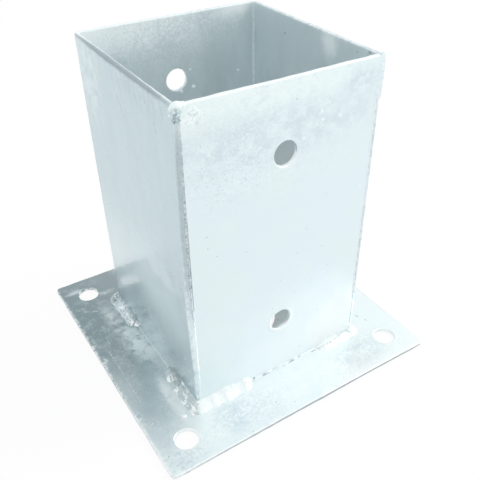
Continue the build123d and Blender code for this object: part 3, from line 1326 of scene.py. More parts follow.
@dataclass
class BasePlate(DippedSheet):
    """Square sheared plate with four anchor holes and the drain hole."""

    name: str = "plate_coat"
    node: str = "base_plate"
    relief: CoatRelief = CoatRelief(lowest=0.0, seed=3.1)
    corner_radius: float = 1.8 * MM
    collar: float = 0.06 * MM
    step: float = 1.2 * MM

    def holes(self) -> tuple[PunchedHole, ...]:
        """The four anchor holes, with their zinc collars, and the drain hole.

        Returns:
            The five holes.
        """
        far = LAYOUT.anchor_half
        places = [(x, y) for x in (-far, far) for y in (-far, far)]
        anchors = [PunchedHole(x, y, LAYOUT.hole_radius, self.collar) for x, y in places]
        return (*anchors, PunchedHole(0.0, 0.0, LAYOUT.drain_radius))

    def mesher(self) -> SheetMesher:
        """Square sheet with five holes."""
        half = LAYOUT.plate_half
        return SheetMesher((-half, -half), (half, half), LAYOUT.sheet, self.holes(), step=self.step)

    def place(self, u: np.ndarray, v: np.ndarray, w: np.ndarray) -> np.ndarray:
        """Lay the sheet flat on the table and round its four corners in plan.

        Args:
            u: places to the right of its middle.
            v: places behind its middle.
            w: places above its middle.

        Returns:
            Rows of x, y and z.
        """
        straight = LAYOUT.plate_half - self.corner_radius
        over_x, over_y = np.maximum(np.abs(u) - straight, 0.0), np.maximum(np.abs(v) - straight, 0.0)
        far = np.hypot(over_x, over_y)
        share = np.where(far > 0, np.maximum(over_x, over_y) / np.where(far > 0, far, 1.0), 1.0)
        x = np.sign(u) * (np.minimum(np.abs(u), straight) + over_x * share)
        y = np.sign(v) * (np.minimum(np.abs(v), straight) + over_y * share)
        return np.column_stack((x, y, LAYOUT.plate_top - LAYOUT.sheet / 2 + w))


@dataclass
class FrontPlate(DippedSheet):
    """Flat plate that closes the sleeve in front, with two cross-bolt holes."""

    name: str = "front_coat"
    node: str = "front_plate"
    relief: CoatRelief = CoatRelief(seed=11.7)
    seam_gap: float = 0.12 * MM
    collar: float = 0.14 * MM

    def mesher(self) -> SheetMesher:
        """Sheet between the two flanges, from the plate to the rim.

        Returns:
            The mesher.
        """
        half = LAYOUT.sleeve_half - LAYOUT.sheet - self.seam_gap
        return SheetMesher((-half, LAYOUT.plate_top), (half, LAYOUT.rim_z), LAYOUT.sheet,
                           cross_holes(0.0, self.collar))

    def place(self, u: np.ndarray, v: np.ndarray, w: np.ndarray) -> np.ndarray:
        """Stand the sheet up in the front opening, with its outer side to the front."""
        return np.column_stack((u, LAYOUT.sheet / 2 - LAYOUT.sleeve_half - w, v))


@dataclass
class SleeveChannel(DippedSheet):
    """Back wall and two flanges, folded from one sheet, with the left flange bowed at its free edge."""

    name: str = "sleeve_coat"
    node: str = "sleeve_channel"
    relief: CoatRelief = CoatRelief(seed=23.4)
    fold_rows: int = 7
    bow: float = 1.1 * MM
    bow_low: float = 5.0 * MM
    bow_high: float = 142.0 * MM
    bow_sharpness: float = 2.5
    collar: float = 0.14 * MM

    def stops(self) -> tuple[float, ...]:
        """Ends of the five stretches of the flat sheet.

        Returns:
            Where the right flange, its fold, the back, the other fold and the left flange end.
        """
        flange = 2 * LAYOUT.sleeve_half - LAYOUT.fold_radius
        fold = (LAYOUT.fold_radius - LAYOUT.sheet / 2) * math.pi / 2
        back = 2 * (LAYOUT.sleeve_half - LAYOUT.fold_radius)
        return tuple(np.cumsum((flange, fold, back, fold, flange)).tolist())

    def mesher(self) -> SheetMesher:
        """Sheet of the unfolded channel, with fine rows where it is folded.

        Returns:
            The mesher.
        """
        s1, s2, s3, s4, s5 = self.stops()
        folds = ((s1, s2, self.fold_rows), (s3, s4, self.fold_rows))
        return SheetMesher((0.0, LAYOUT.plate_top), (s5, LAYOUT.rim_z), LAYOUT.sheet,
                           cross_holes(s5 / 2, self.collar), fine_spans=folds)

    def bow_at(self, z: np.ndarray | float) -> np.ndarray | float:
        """Bow of the left flange's free edge at a height."""
        share = np.clip((z - self.bow_low) / (self.bow_high - self.bow_low), 0.0, 1.0)
        return self.bow * np.sin(math.pi * share)

    def place(self, u: np.ndarray, v: np.ndarray, w: np.ndarray) -> np.ndarray:
        """Fold the flat sheet: along the right flange, the back and the left flange.

        Args:
            u: places round the sleeve, from the free edge of the right flange.
            v: heights.
            w: places outward from the middle of the sheet.

        Returns:
            Rows of x, y and z.
        """
        s1, s2, s3, s4, s5 = self.stops()
        half, radius = LAYOUT.sleeve_half, LAYOUT.fold_radius
        middle = half - LAYOUT.sheet / 2
        centre = half - radius
        bend = radius - LAYOUT.sheet / 2 + w
        turn1 = (u - s1) / (s2 - s1) * math.pi / 2
        turn2 = (1 + (u - s3) / (s4 - s3)) * math.pi / 2
        spans = [u < s1, u < s2, u < s3, u < s4]
        x = np.select(spans, [middle + w, centre + bend * np.cos(turn1), centre - (u - s2),
                              bend * np.cos(turn2) - centre], -(middle + w))
        y = np.select(spans, [u - half, centre + bend * np.sin(turn1), middle + w,
                              centre + bend * np.sin(turn2)], centre - (u - s4))
        along = np.clip((u - s4) / (s5 - s4), 0.0, 1.0)
        x = x - self.bow_at(v) * along ** self.bow_sharpness
        return np.column_stack((x, y, v))


class NodeTool:
    """A Geometry Nodes tree, and what runs it on a mesh and keeps the plain result."""

    def __init__(self, name: str, sizes: dict[str, float], counts: dict[str, int],
                 shapes: Sequence[str] = ()) -> None:
        """Start a tree with named inputs.

        Args:
            name: name of the tree.
            sizes: inputs that are plain numbers, with their usual values.
            counts: inputs that are whole numbers, with their usual values.
            shapes: inputs that are other objects.
        """
        self.tree = bpy.data.node_groups.new(name, "GeometryNodeTree")
        sockets = self.tree.interface
        sockets.new_socket("Geometry", in_out="INPUT", socket_type="NodeSocketGeometry")
        for label, value in sizes.items():
            sockets.new_socket(label, in_out="INPUT", socket_type="NodeSocketFloat").default_value = value
        for label, value in counts.items():
            sockets.new_socket(label, in_out="INPUT", socket_type="NodeSocketInt").default_value = value
        for label in shapes:
            sockets.new_socket(label, in_out="INPUT", socket_type="NodeSocketObject")
        sockets.new_socket("Finish", in_out="INPUT", socket_type="NodeSocketMaterial")
        sockets.new_socket("Geometry", in_out="OUTPUT", socket_type="NodeSocketGeometry")
        self.canvas = NodeCanvas(self.tree)
        self.inputs = self.canvas.add("NodeGroupInput").outputs
        self.output = self.canvas.add("NodeGroupOutput").inputs[0]

    def close(self, geometry: Socket) -> None:
        """End the tree: realise the instances, shade them smooth and give them the finish.

        Args:
            geometry: what the tree has made.
        """
        canvas = self.canvas
        real = canvas.add("GeometryNodeRealizeInstances", Geometry=geometry)
        smooth = canvas.add("GeometryNodeSetShadeSmooth", Geometry=real.outputs[0])
        finish = self.inputs["Finish"]
        dressed = canvas.add("GeometryNodeSetMaterial", Geometry=smooth.outputs[0], Material=finish)
        canvas.feed(self.output, dressed.outputs[0])

    def named(self, name: str, kind: str = "FLOAT") -> Socket:
        """Read a named attribute of the mesh.

        Args:
            name: name of the attribute.
            kind: its data type.

        Returns:
            Its value.
        """
        node = self.canvas.add("GeometryNodeInputNamedAttribute", data_type=kind, Name=name)
        return node.outputs["Attribute"]

    def run(self, name: str, mesh: Mesh, finish: Material,
            values: dict[str, object]) -> bpy.types.Object:
        """Run the tree on a mesh.

        Args:
            name: name of the new piece.
            mesh: the mesh that goes in.
            finish: material of the new piece.
            values: inputs that differ from their usual values.

        Returns:
            A plain mesh object with the result.
        """
        host = new_object(name + "_host", mesh)
        modifier = host.modifiers.new("lay", "NODES")
        modifier.node_group = self.tree
        found = {item.name: item.identifier for item in self.tree.interface.items_tree
                 if item.in_out == "INPUT"}
        for label, value in {**values, "Finish": finish}.items():
            modifier[found[label]] = value
        host.update_tag()
        graph = bpy.context.evaluated_depsgraph_get()
        made = bpy.data.meshes.new_from_object(
            host.evaluated_get(graph), preserve_all_data_layers=True, depsgraph=graph
        )
        made.name = name
        made.materials.clear()
        made.materials.append(finish)
        made.polygons.foreach_set("material_index", [0] * len(made.polygons))
        host.modifiers.remove(modifier)
        bpy.data.objects.remove(host)
        bpy.data.meshes.remove(mesh)
        return new_object(name, made)


class BeadTool(NodeTool):
    """Sweeps a rounded bead along a path and gives it ripples and lumps.

    The path's points carry their outward direction and their share of the full section.
    """

    seed_shift: float = 0.137
    sway_scale: float = 260.0
    sway_ripples: float = 1.5
    ripple_rest: float = 0.6
    grain_scale: float = 1400.0

    def __init__(self) -> None:
        """Build the tree."""
        sizes = {"Ripple Pitch": 3.4 * MM, "Ripple Height": 0.16 * MM, "Ripple Curve": 0.3,
                 "Lump Size": 4.0 * MM, "Lump Height": 0.5 * MM, "Grain Height": 0.06 * MM}
        super().__init__("weld_bead", sizes, {"Seed": 1}, ("Section",))
        path, along = self.path()
        sweep = self.canvas.add("GeometryNodeCurveToMesh", Curve=path, Scale=self.named("section_share"))
        self.canvas.feed(sweep.inputs["Profile Curve"], self.section())
        self.canvas.feed(sweep.inputs["Fill Caps"], True)
        self.close(self.roughen(sweep.outputs[0], along))

    def section(self) -> Socket:
        """Section of the bead, a closed line taken from the Section object.

        Returns:
            The line.
        """
        shape = self.canvas.add("GeometryNodeObjectInfo", transform_space="ORIGINAL",
                                Object=self.inputs["Section"])
        return self.canvas.add("GeometryNodeMeshToCurve", Mesh=shape.outputs["Geometry"]).outputs[0]

    def path(self) -> tuple[Socket, Socket]:
        """Curve of the path, turned outwards, and the distance along it.

        Returns:
            The curve and the distance.
        """
        canvas = self.canvas
        curve = canvas.add("GeometryNodeMeshToCurve", Mesh=self.inputs["Geometry"])
        aimed = canvas.add("GeometryNodeSetCurveNormal", mode="FREE", Curve=curve.outputs[0],
                           Normal=self.named("outward", "FLOAT_VECTOR"))
        capture = canvas.add("GeometryNodeCaptureAttribute")
        capture.capture_items.new("FLOAT", "Along")
        canvas.feed(capture.inputs["Geometry"], aimed.outputs[0])
        canvas.feed(capture.inputs["Along"], canvas.add("GeometryNodeSplineParameter").outputs["Length"])
        return capture.outputs["Geometry"], capture.outputs["Along"]

    def roughen(self, mesh: Socket, along: Socket) -> Socket:
        """Push the bead's surface in and out: a step at each ripple, lumps and a fine grain.

        Args:
            mesh: the swept surface.
            along: the distance along the path.

        Returns:
            The rougher surface.
        """
        canvas, inputs = self.canvas, self.inputs
        place = canvas.add("GeometryNodeInputPosition").outputs[0]
        normal = canvas.add("GeometryNodeInputNormal").outputs[0]
        shift = canvas.math("MULTIPLY", inputs["Seed"], self.seed_shift)
        seeded = canvas.vector_math("ADD", place, shift)
        sway = canvas.math("SUBTRACT", canvas.noise(seeded, self.sway_scale, 1.0), 0.5)
        upright = canvas.split(normal)[2]
        lean = canvas.math("MULTIPLY", upright, upright)
        bulge = canvas.math("MULTIPLY", lean, canvas.math("SUBTRACT", 1.0, lean))
        bulge = canvas.math("MULTIPLY", bulge, 4.0)
        phase = canvas.math("DIVIDE", along, inputs["Ripple Pitch"])
        phase = canvas.math("ADD", phase, canvas.math("MULTIPLY", bulge, inputs["Ripple Curve"]))
        phase = canvas.math("ADD", phase, canvas.math("MULTIPLY", sway, self.sway_ripples))
        ripple = canvas.math("SUBTRACT", canvas.math("FRACT", phase), self.ripple_rest)
        ripple = canvas.math("MULTIPLY", ripple, inputs["Ripple Height"])
        lump_scale = canvas.math("DIVIDE", 1.0, inputs["Lump Size"])
        lump = canvas.math("SUBTRACT", canvas.noise(seeded, lump_scale, 2.0), 0.5)
        lump = canvas.math("MULTIPLY", lump, inputs["Lump Height"])
        grain = canvas.math("SUBTRACT", canvas.noise(seeded, self.grain_scale, 2.0), 0.5)
        grain = canvas.math("MULTIPLY", grain, inputs["Grain Height"])
        height = canvas.math("ADD", ripple, canvas.math("ADD", lump, grain))
        share = canvas.math("ADD", self.named("section_share"), 0.0, clamp=True)
        offset = canvas.scaled(normal, canvas.math("MULTIPLY", height, share))
        return canvas.add("GeometryNodeSetPosition", Geometry=mesh, Offset=offset).outputs[0]

    def sweep(self, name: str, path: Mesh, section: Sequence[Flat], finish: Material,
              values: dict[str, object]) -> bpy.types.Object:
        """Sweep one bead.

        Args:
            name: name of the new piece.
            path: the bead's path.
            section: closed outline of the section, out from the path and across.
            finish: material of the bead.
            values: inputs that differ from their usual values.

        Returns:
            The bead.
        """
        mesh = bpy.data.meshes.new(name + "_section")
        count = len(section)
        mesh.from_pydata([(a, b, 0.0) for a, b in section], [(i, (i + 1) % count) for i in range(count)], [])
        outline = new_object(name + "_section", mesh)
        bead = self.run(name, path, finish, {**values, "Section": outline})
        bpy.data.objects.remove(outline)
        bpy.data.meshes.remove(mesh)
        return bead


def fillet_section(leg: float, hollow: float, hidden: float, count: int = 24) -> list[Flat]:
    """Section of a weld in an inner corner, thin at both toes.

    Args:
        leg: reach on either face.
        hollow: 1 for a flat face from toe to toe, and more for a hollow one.
        hidden: depth to which the bead goes into the metal.
        count: number of steps from toe to toe.

    Returns:
        The closed outline, out from the wall and up from the plate.
    """
    found = []
    for i in range(count + 1):
        share = 1.12 * i / count - 0.06
        out = math.copysign(abs(1.0 - share) ** hollow, 1.0 - share) * leg
        up = math.copysign(abs(share) ** hollow, share) * leg
        found.append((out, up))
    return [*found, (-hidden, -hidden)]


def corner_section(reach: float, cover: float, sunk: float, hidden: float, count: int = 16) -> list[Flat]:
    """Section of a weld laid over an outer corner, thin at both toes.

    Args:
        reach: width of the weld on either face.
        cover: metal over the corner.
        sunk: depth of the toes under the faces.
        hidden: depth to which the weld goes into the metal.
        count: number of steps on either face.

    Returns:
        The closed outline, out along the corner's bisector and across it.
    """
    found = []
    for i in range(-count, count + 1):
        share = i / count
        along = abs(share) * reach
        side = math.copysign(1.0, share)
        height = (cover + sunk) * (1.0 - share * share) ** 1.5 - sunk
        lean = min(1.0, along / (0.4 * reach))
        turn = math.pi / 4 * lean
        found.append((-along * SLANT + height * math.cos(turn),
                      side * (along * SLANT + height * math.sin(turn))))
    deep, toe = hidden * SLANT, reach * SLANT
    return [*found, (-toe - deep, toe - deep), (-hidden / SLANT, 0.0), (-toe - deep, deep - toe)]


@dataclass
class BeadPath:
    """Path of a bead: places, outward directions and the share of the full section at each."""

    places: list[Point] = field(default_factory=list)
    outward: list[Point] = field(default_factory=list)

    def add(self, place: Point, outward: Point) -> None:
        """Add one point."""
        self.places.append(place)
        self.outward.append(outward)

    def reverse(self) -> None:
        """Let the path run the other way."""
        self.places.reverse()
        self.outward.reverse()

    def mesh(self, name: str, taper: float, least: float = 0.12, blunt: float = 0.5, sway: float = 0.0,
             sway_length: float = 6.0 * MM, seed: float = 0.0) -> Mesh:
        """Make the path a chain of edges.

        Args:
            name: name of the mesh.
            taper: length of the rounded end at either side.
            least: share of the section left at the very end.
            blunt: 0.5 for round ends, and more for ends that run out.
            sway: how much the section grows and shrinks on the way.
            sway_length: length of one such change.
            seed: shifts the changes.

        Returns:
            A mesh with the attributes that the bead's tree reads.
        """
        mesh = bpy.data.meshes.new(name)
        count = len(self.places)
        mesh.from_pydata(self.places, [(i, i + 1) for i in range(count - 1)], [])
        steps = np.linalg.norm(np.diff(np.array(self.places), axis=0), axis=1)
        along = np.concatenate(([0.0], np.cumsum(steps)))
        nearest = np.minimum(along, along[-1] - along)
        inward = 1.0 - np.clip(nearest / taper, 0.0, 1.0)
        share = np.maximum((1.0 - inward ** 2) ** blunt, least)
        wave = [noise.noise(Vector((s / sway_length, seed, 0.0))) for s in along]
        share = share * (1.0 + sway * np.array(wave))
        size = mesh.attributes.new("section_share", "FLOAT", "POINT")
        size.data.foreach_set("value", share.astype(np.float32))
        aim = mesh.attributes.new("outward", "FLOAT_VECTOR", "POINT")
        aim.data.foreach_set("vector", np.array(self.outward, np.float32).ravel())
        return mesh


@dataclass(frozen=True)
class FootWeld:
    """Fillet weld round one corner at the foot of the sleeve."""

    name: str
    side_x: int
    side_y: int
    run_x: float
    run_y: float
    corner_radius: float
    leg: float = 4.7 * MM
    hollow: float = 1.2
    hidden: float = 0.6 * MM
    step: float = 0.35 * MM
    taper: float = 7.0 * MM
    turns: int = 16
    lump: float = 1.1 * MM
    lump_size: float = 3.6 * MM
    seed: int = 1

    def path(self) -> BeadPath:
        """Path from the end of the side leg, round the corner, to the end of the other leg.

        Returns:
            The path.
        """
        half, radius = LAYOUT.sleeve_half, self.corner_radius
        path = BeadPath()
        straight = self.run_y - radius
        count = round(straight / self.step)
        for i in range(count):
            y = half - self.run_y + straight * i / count
            path.add((self.side_x * half, self.side_y * y, LAYOUT.plate_top), (self.side_x, 0.0, 0.0))
        for i in range(self.turns + 1):
            turn = math.pi / 2 * i / self.turns
            out = (self.side_x * math.cos(turn), self.side_y * math.sin(turn), 0.0)
            place = (out[0] * radius + self.side_x * (half - radius),
                     out[1] * radius + self.side_y * (half - radius), LAYOUT.plate_top)
            path.add(place, out)
        straight = self.run_x - radius
        count = round(straight / self.step)
        for i in range(1, count + 1):
            x = half - radius - straight * i / count
            path.add((self.side_x * x, self.side_y * half, LAYOUT.plate_top), (0.0, self.side_y, 0.0))
        if self.side_x == self.side_y:
            path.reverse()
        return path

    def build(self, tool: BeadTool, finish: Material) -> bpy.types.Object:
        """Lay the weld.

        Args:
            tool: the tree that sweeps beads.
            finish: material of the weld.

        Returns:
            The finished piece.
        """
        values = {"Lump Height": self.lump, "Lump Size": self.lump_size, "Grain Height": 0.07 * MM,
                  "Ripple Height": 0.1 * MM, "Seed": self.seed}
        path = self.path().mesh(self.name + "_path", self.taper, blunt=0.8, sway=0.3, seed=float(self.seed))
        section = fillet_section(self.leg, self.hollow, self.hidden)
        piece = tool.sweep(self.name, path, section, finish, values)
        hand_over(piece, Slot.WELD, self.name.replace("_bead", ""))
        return piece


@dataclass(frozen=True)
class SeamWeld:
    """Weld down one front corner from the rim, wrapped round the corner."""

    name: str
    side_x: int
    length: float
    cover: float
    reach: float = 4.6 * MM
    sunk: float = 0.15 * MM
    hidden: float = 1.2 * MM
    proud: float = 0.3 * MM
    lump: float = 0.9 * MM
    lump_size: float = 2.6 * MM
    step: float = 0.3 * MM
    taper: float = 2.5 * MM
    seed: int = 1

    def build(self, tool: BeadTool, finish: Material) -> bpy.types.Object:
        """Lay the weld.

        Args:
            tool: the tree that sweeps beads.
            finish: material of the weld.

        Returns:
            The finished piece.
        """
        half = LAYOUT.sleeve_half
        path = BeadPath()
        count = round((self.length + self.proud) / self.step)
        for i in range(count + 1):
            z = LAYOUT.rim_z + self.proud - i * self.step
            path.add((self.side_x * half, -half, z), (self.side_x * SLANT, -SLANT, 0.0))
        values = {"Ripple Height": 0.2 * MM, "Lump Size": self.lump_size, "Lump Height": self.lump,
                  "Grain Height": 0.16 * MM, "Seed": self.seed}
        mesh = path.mesh(self.name + "_path", self.taper, least=0.3, sway=0.2, seed=float(self.seed))
        section = corner_section(self.reach, self.cover, self.sunk, self.hidden)
        piece = tool.sweep(self.name, mesh, section, finish, values)
        hand_over(piece, Slot.WELD, self.name.replace("_bead", ""))
        return piece


@dataclass(frozen=True)
class ZincLine:
    """Thin line of zinc that the dip left in a joint, with bare gaps where the joint shows dark."""

    name: str
    start: Point
    end: Point
    outward: Point
    spans: tuple[tuple[float, float], ...]
    radius: float
    depth: float
    lump: float = 0.5 * MM
    step: float = 0.4 * MM
    taper: float = 0.9 * MM
    turns: int = 14
    bulge: Callable[[float], float] = field(default=lambda share: 0.0)
    seed: int = 1

    def build(self, tool: BeadTool, finish: Material) -> list[bpy.types.Object]:
        """Lay the line, one bead for each span.

        Args:
            tool: the tree that sweeps beads.
            finish: material of the zinc.

        Returns:
            The beads, which the caller joins.
        """
        start, end = Vector(self.start), Vector(self.end)
        length = (end - start).length
        beads = []
        values = {"Ripple Height": 0.0, "Lump Size": 1.6 * MM, "Lump Height": self.lump,
                  "Grain Height": 0.05 * MM, "Seed": self.seed}
        turns = [2 * math.pi * i / self.turns for i in range(self.turns)]
        section = [(self.radius * math.cos(t) - self.depth, self.radius * math.sin(t)) for t in turns]
        for number, (low, high) in enumerate(self.spans):
            path = BeadPath()
            count = max(3, round((high - low) * length / self.step))
            for i in range(count + 1):
                share = low + (high - low) * i / count
                place = start.lerp(end, share)
                place.x -= self.bulge(share)
                path.add(tuple(place), self.outward)
            mesh = path.mesh(f"{self.name}_path", self.taper, least=0.3, sway=0.5,
                             sway_length=3.0 * MM, seed=self.seed + 0.7 * number)
            beads.append(tool.sweep(f"{self.name}_{number}", mesh, section, finish, values))
        return beads


def join_pieces(name: str, parts: Sequence[bpy.types.Object]) -> bpy.types.Object:
    """Join mesh objects that sit at the origin into one piece.

    Args:
        name: name of the piece.
        parts: the objects, which are removed.

    Returns:
        The joined piece.
    """
    work = bmesh.new()
    finish = parts[0].data.materials[0]
    for part in parts:
        work.from_mesh(part.data)
        mesh = part.data
        bpy.data.objects.remove(part)
        bpy.data.meshes.remove(mesh)
    joined = bpy.data.meshes.new(name)
    work.to_mesh(joined)
    work.free()
    joined.materials.clear()
    joined.materials.append(finish)
    joined.shade_smooth()
    return new_object(name, joined)


@dataclass(frozen=True)
class ZincDrop:
    """One drop of zinc on a surface, by its place, its outward direction and its radius."""

    place: Point
    outward: Point
    radius: float


class DropSetter(NodeTool):
    """A tree that puts a flattened, slightly uneven drop on each of its points."""

    def set_drops(self, points: Socket, rotation: Socket,
                  radius: Socket) -> Socket:
        """Put the drops on the points.

        Args:
            points: where the drops sit.
            rotation: how each is turned, with its own Z outward.
            radius: radius of each.

        Returns:
            The drops as a mesh.
        """
        canvas, inputs = self.canvas, self.inputs
        ball = canvas.add("GeometryNodeMeshIcoSphere", Radius=1.0, Subdivisions=inputs["Fineness"])
        height = canvas.math("MULTIPLY", radius, inputs["Flatness"])
        scale = canvas.add("ShaderNodeCombineXYZ", X=radius, Y=radius, Z=height)
        placed = canvas.add("GeometryNodeInstanceOnPoints", Points=points, Instance=ball.outputs["Mesh"],
                            Rotation=rotation, Scale=scale.outputs[0])
        real = canvas.add("GeometryNodeRealizeInstances", Geometry=placed.outputs[0])
        place = canvas.add("GeometryNodeInputPosition").outputs[0]
        wobble = canvas.math("SUBTRACT", canvas.noise(place, 900.0, 1.0), 0.5)
        wobble = canvas.math("MULTIPLY", wobble, canvas.math("MULTIPLY", inputs["Unevenness"], 2.0 * MM))
        normal = canvas.add("GeometryNodeInputNormal").outputs[0]
        moved = canvas.add("GeometryNodeSetPosition", Geometry=real.outputs[0],
                           Offset=canvas.scaled(normal, wobble))
        return moved.outputs[0]


class DropTool(DropSetter):
    """Lays single drops, each given by its place, its outward direction and its radius."""

    def __init__(self) -> None:
        """Build the tree."""
        super().__init__("zinc_drops", {"Flatness": 0.55, "Unevenness": 0.12}, {"Fineness": 3})
        canvas = self.canvas
        points = canvas.add("GeometryNodeMeshToPoints", Mesh=self.inputs["Geometry"])
        aim = canvas.add("FunctionNodeAlignRotationToVector", axis="Z",
                         Vector=self.named("outward", "FLOAT_VECTOR"))
        self.close(self.set_drops(points.outputs[0], aim.outputs[0], self.named("drop_radius")))

    def lay(self, name: str, drops: Sequence[ZincDrop], finish: Material,
            flatness: float = 0.55) -> bpy.types.Object:
        """Make one piece of a list of drops.

        Args:
            name: name of the piece.
            drops: the drops.
            finish: material of the zinc.
            flatness: height of a drop over its radius.

        Returns:
            The finished piece.
        """
        mesh = bpy.data.meshes.new(name + "_points")
        mesh.from_pydata([drop.place for drop in drops], [], [])
        size = mesh.attributes.new("drop_radius", "FLOAT", "POINT")
        size.data.foreach_set("value", [drop.radius for drop in drops])
        aim = mesh.attributes.new("outward", "FLOAT_VECTOR", "POINT")
        aim.data.foreach_set("vector", [part for drop in drops for part in drop.outward])
        piece = self.run(name, mesh, finish, {"Flatness": flatness})
        hand_over(piece, Slot.WELD)
        return piece


class GrainTool(DropSetter):
    """Scatters small grains of zinc over the faces of a mesh, in clusters."""

    def __init__(self) -> None:
        """Build the tree."""
        sizes = {"Flatness": 0.7, "Unevenness": 0.05, "Density": 9000.0, "Smallest": 0.12 * MM,
                 "Largest": 0.42 * MM, "Cluster Size": 30.0 * MM, "Lowest": 1.0 * MM}
        super().__init__("zinc_grains", sizes, {"Fineness": 2, "Seed": 1})
        canvas, inputs = self.canvas, self.inputs
        place = canvas.add("GeometryNodeInputPosition").outputs[0]
        cluster = canvas.noise(place, canvas.math("DIVIDE", 1.0, inputs["Cluster Size"]), 2.0)
        share = canvas.remap(cluster, 0.42, 0.68, 0.08, 1.0)
        above = canvas.math("GREATER_THAN", canvas.split(place)[2], inputs["Lowest"])
        density = canvas.math("MULTIPLY", inputs["Density"], canvas.math("MULTIPLY", share, above))
        scatter = canvas.add("GeometryNodeDistributePointsOnFaces", distribute_method="RANDOM",
                             Mesh=inputs["Geometry"], Density=density, Seed=inputs["Seed"])
        pick = canvas.add("FunctionNodeRandomValue", data_type="FLOAT", Seed=inputs["Seed"])
        chance = canvas.math("POWER", pick.outputs[1], 3.0)
        spread = canvas.math("SUBTRACT", inputs["Largest"], inputs["Smallest"])
        radius = canvas.math("ADD", inputs["Smallest"], canvas.math("MULTIPLY", chance, spread))
        self.close(self.set_drops(scatter.outputs["Points"], scatter.outputs["Rotation"], radius))

    def scatter(self, name: str, piece: bpy.types.Object, density: float, seed: int,
                finish: Material) -> bpy.types.Object:
        """Scatter grains over one piece.

        Args:
            name: name of the new piece.
            piece: the piece that carries the grains.
            density: grains for each square metre where they are thickest.
            seed: seed of the scatter.
            finish: material of the zinc.

        Returns:
            The finished piece.
        """
        grains = self.run(name, piece.data.copy(), finish, {"Density": density, "Seed": seed})
        hand_over(grains, Slot.SHEET)
        return grains


@dataclass(frozen=True)
class PhotoCamera:
    """Camera that stands where the photograph was taken from, in millimetres, degrees and pixels."""

    eye_mm: tuple[float, float, float] = (-130.279, -223.115, 238.766)
    azimuth: float = -33.635
    elevation: float = 36.545
    roll: float = 0.229
    focal_px: float = 616.477
    centre_px: tuple[float, float] = (257.5, 249.309)
    frame_px: float = 480.0
    sensor_mm: float = 36.0

    def place(self) -> bpy.types.Object:
        """Make the camera and set it as the scene's own.

        Returns:
            The camera object.
        """
        data = bpy.data.cameras.new("photo_camera")
        data.sensor_width = self.sensor_mm
        data.lens = self.focal_px / self.frame_px * self.sensor_mm
        data.shift_x = (self.frame_px / 2 - self.centre_px[0]) / self.frame_px
        data.shift_y = (self.centre_px[1] - self.frame_px / 2) / self.frame_px
        data.clip_start, data.clip_end = 0.01, 20.0
        camera = new_object("photo_camera", data)
        aim = (-direction(self.azimuth, self.elevation)).to_track_quat("-Z", "Y")
        lean = Matrix.Rotation(math.radians(self.roll), 4, "Z")
        camera.matrix_world = (
            Matrix.Translation(Vector(self.eye_mm) * MM) @ aim.to_matrix().to_4x4() @ lean
        )
        bpy.context.scene.camera = camera
        return camera


@dataclass(frozen=True)
class AreaLamp:
    """One soft box, by its direction from the object, its distance, its width and its power."""

    name: str
    azimuth: float
    elevation: float
    distance: float
    width: float
    watts: float

    def place(self) -> bpy.types.Object:
        """Make the lamp, aimed at the middle of the sleeve.

        Returns:
            The lamp.
        """
        data = bpy.data.lights.new(self.name, "AREA")
        data.shape = "DISK"
        data.size = self.width
        data.energy = self.watts
        lamp = new_object(self.name, data)
        away = direction(self.azimuth, self.elevation)
        middle = Vector((0.0, 0.0, LAYOUT.rim_z / 2))
        lamp.location = middle + away * self.distance
        lamp.rotation_mode = "QUATERNION"
        lamp.rotation_quaternion = (-away).to_track_quat("-Z", "Y")
        return lamp


@dataclass(frozen=True)
class Studio:
    """White table and surroundings, with soft boxes in front."""

    floor_half: float = 3.0
    ambient: float = 0.9
    shadow_share: float = 0.1
    lamps: tuple[AreaLamp, ...] = (
        AreaLamp("key_box", 78.0, 32.0, 1.2, 0.9, 6.0),
    )

    def world(self) -> None:
        """Light the scene from all round, and show white behind it and in its reflections."""
        world = bpy.data.worlds.new("white_studio")
        bpy.context.scene.world = world
        world.use_nodes = True
        canvas = NodeCanvas(world.node_tree)
        paths = canvas.add("ShaderNodeLightPath")
        seen = canvas.math("MAXIMUM", paths.outputs["Is Camera Ray"], paths.outputs["Is Glossy Ray"])
        seen = canvas.math("MAXIMUM", seen, paths.outputs["Is Transmission Ray"])
        strength = canvas.remap(seen, 0.0, 1.0, self.ambient, 1.0, smooth=False)
        background = world.node_tree.nodes["Background"]
        canvas.feed(background.inputs["Color"], (1.0, 1.0, 1.0))
        canvas.feed(background.inputs["Strength"], strength)

    def floor(self) -> bpy.types.Object:
        """Make the white table under the base.

        Returns:
            The floor object, marked as stage.
        """
        half = self.floor_half
        mesh = bpy.data.meshes.new("table")
        corners = [(-half, -half, 0.0), (half, -half, 0.0), (half, half, 0.0), (-half, half, 0.0)]
        mesh.from_pydata(corners, [], [(0, 1, 2, 3)])
        table = new_object("table", mesh)
        paint = bpy.data.materials.new("table_white")
        paint.use_nodes = True
        canvas = NodeCanvas(paint.node_tree)
        paint.node_tree.nodes.remove(paint.node_tree.nodes["Principled BSDF"])
        paths = canvas.add("ShaderNodeLightPath")
        seen = canvas.math("MAXIMUM", paths.outputs["Is Camera Ray"], paths.outputs["Is Glossy Ray"])
        matte = canvas.add("ShaderNodeBsdfDiffuse", Color=(0.97, 0.97, 0.97))
        glow = canvas.add("ShaderNodeEmission")
        mixed = canvas.add("ShaderNodeMixShader")
        canvas.feed(mixed.inputs[0], canvas.math("MULTIPLY", seen, 1.0 - self.shadow_share))
        canvas.feed(mixed.inputs[1], matte.outputs[0])
        canvas.feed(mixed.inputs[2], glow.outputs[0])
        output = paint.node_tree.nodes["Material Output"]
        canvas.feed(output.inputs["Surface"], mixed.outputs[0])
        mesh.materials.append(paint)
        return table

    def build(self) -> None:
        """Set the surroundings, the table and the lamps."""
        self.world()
        self.floor()
        for lamp in self.lamps:
            lamp.place()
        bpy.context.scene.view_settings.view_transform = "Standard"


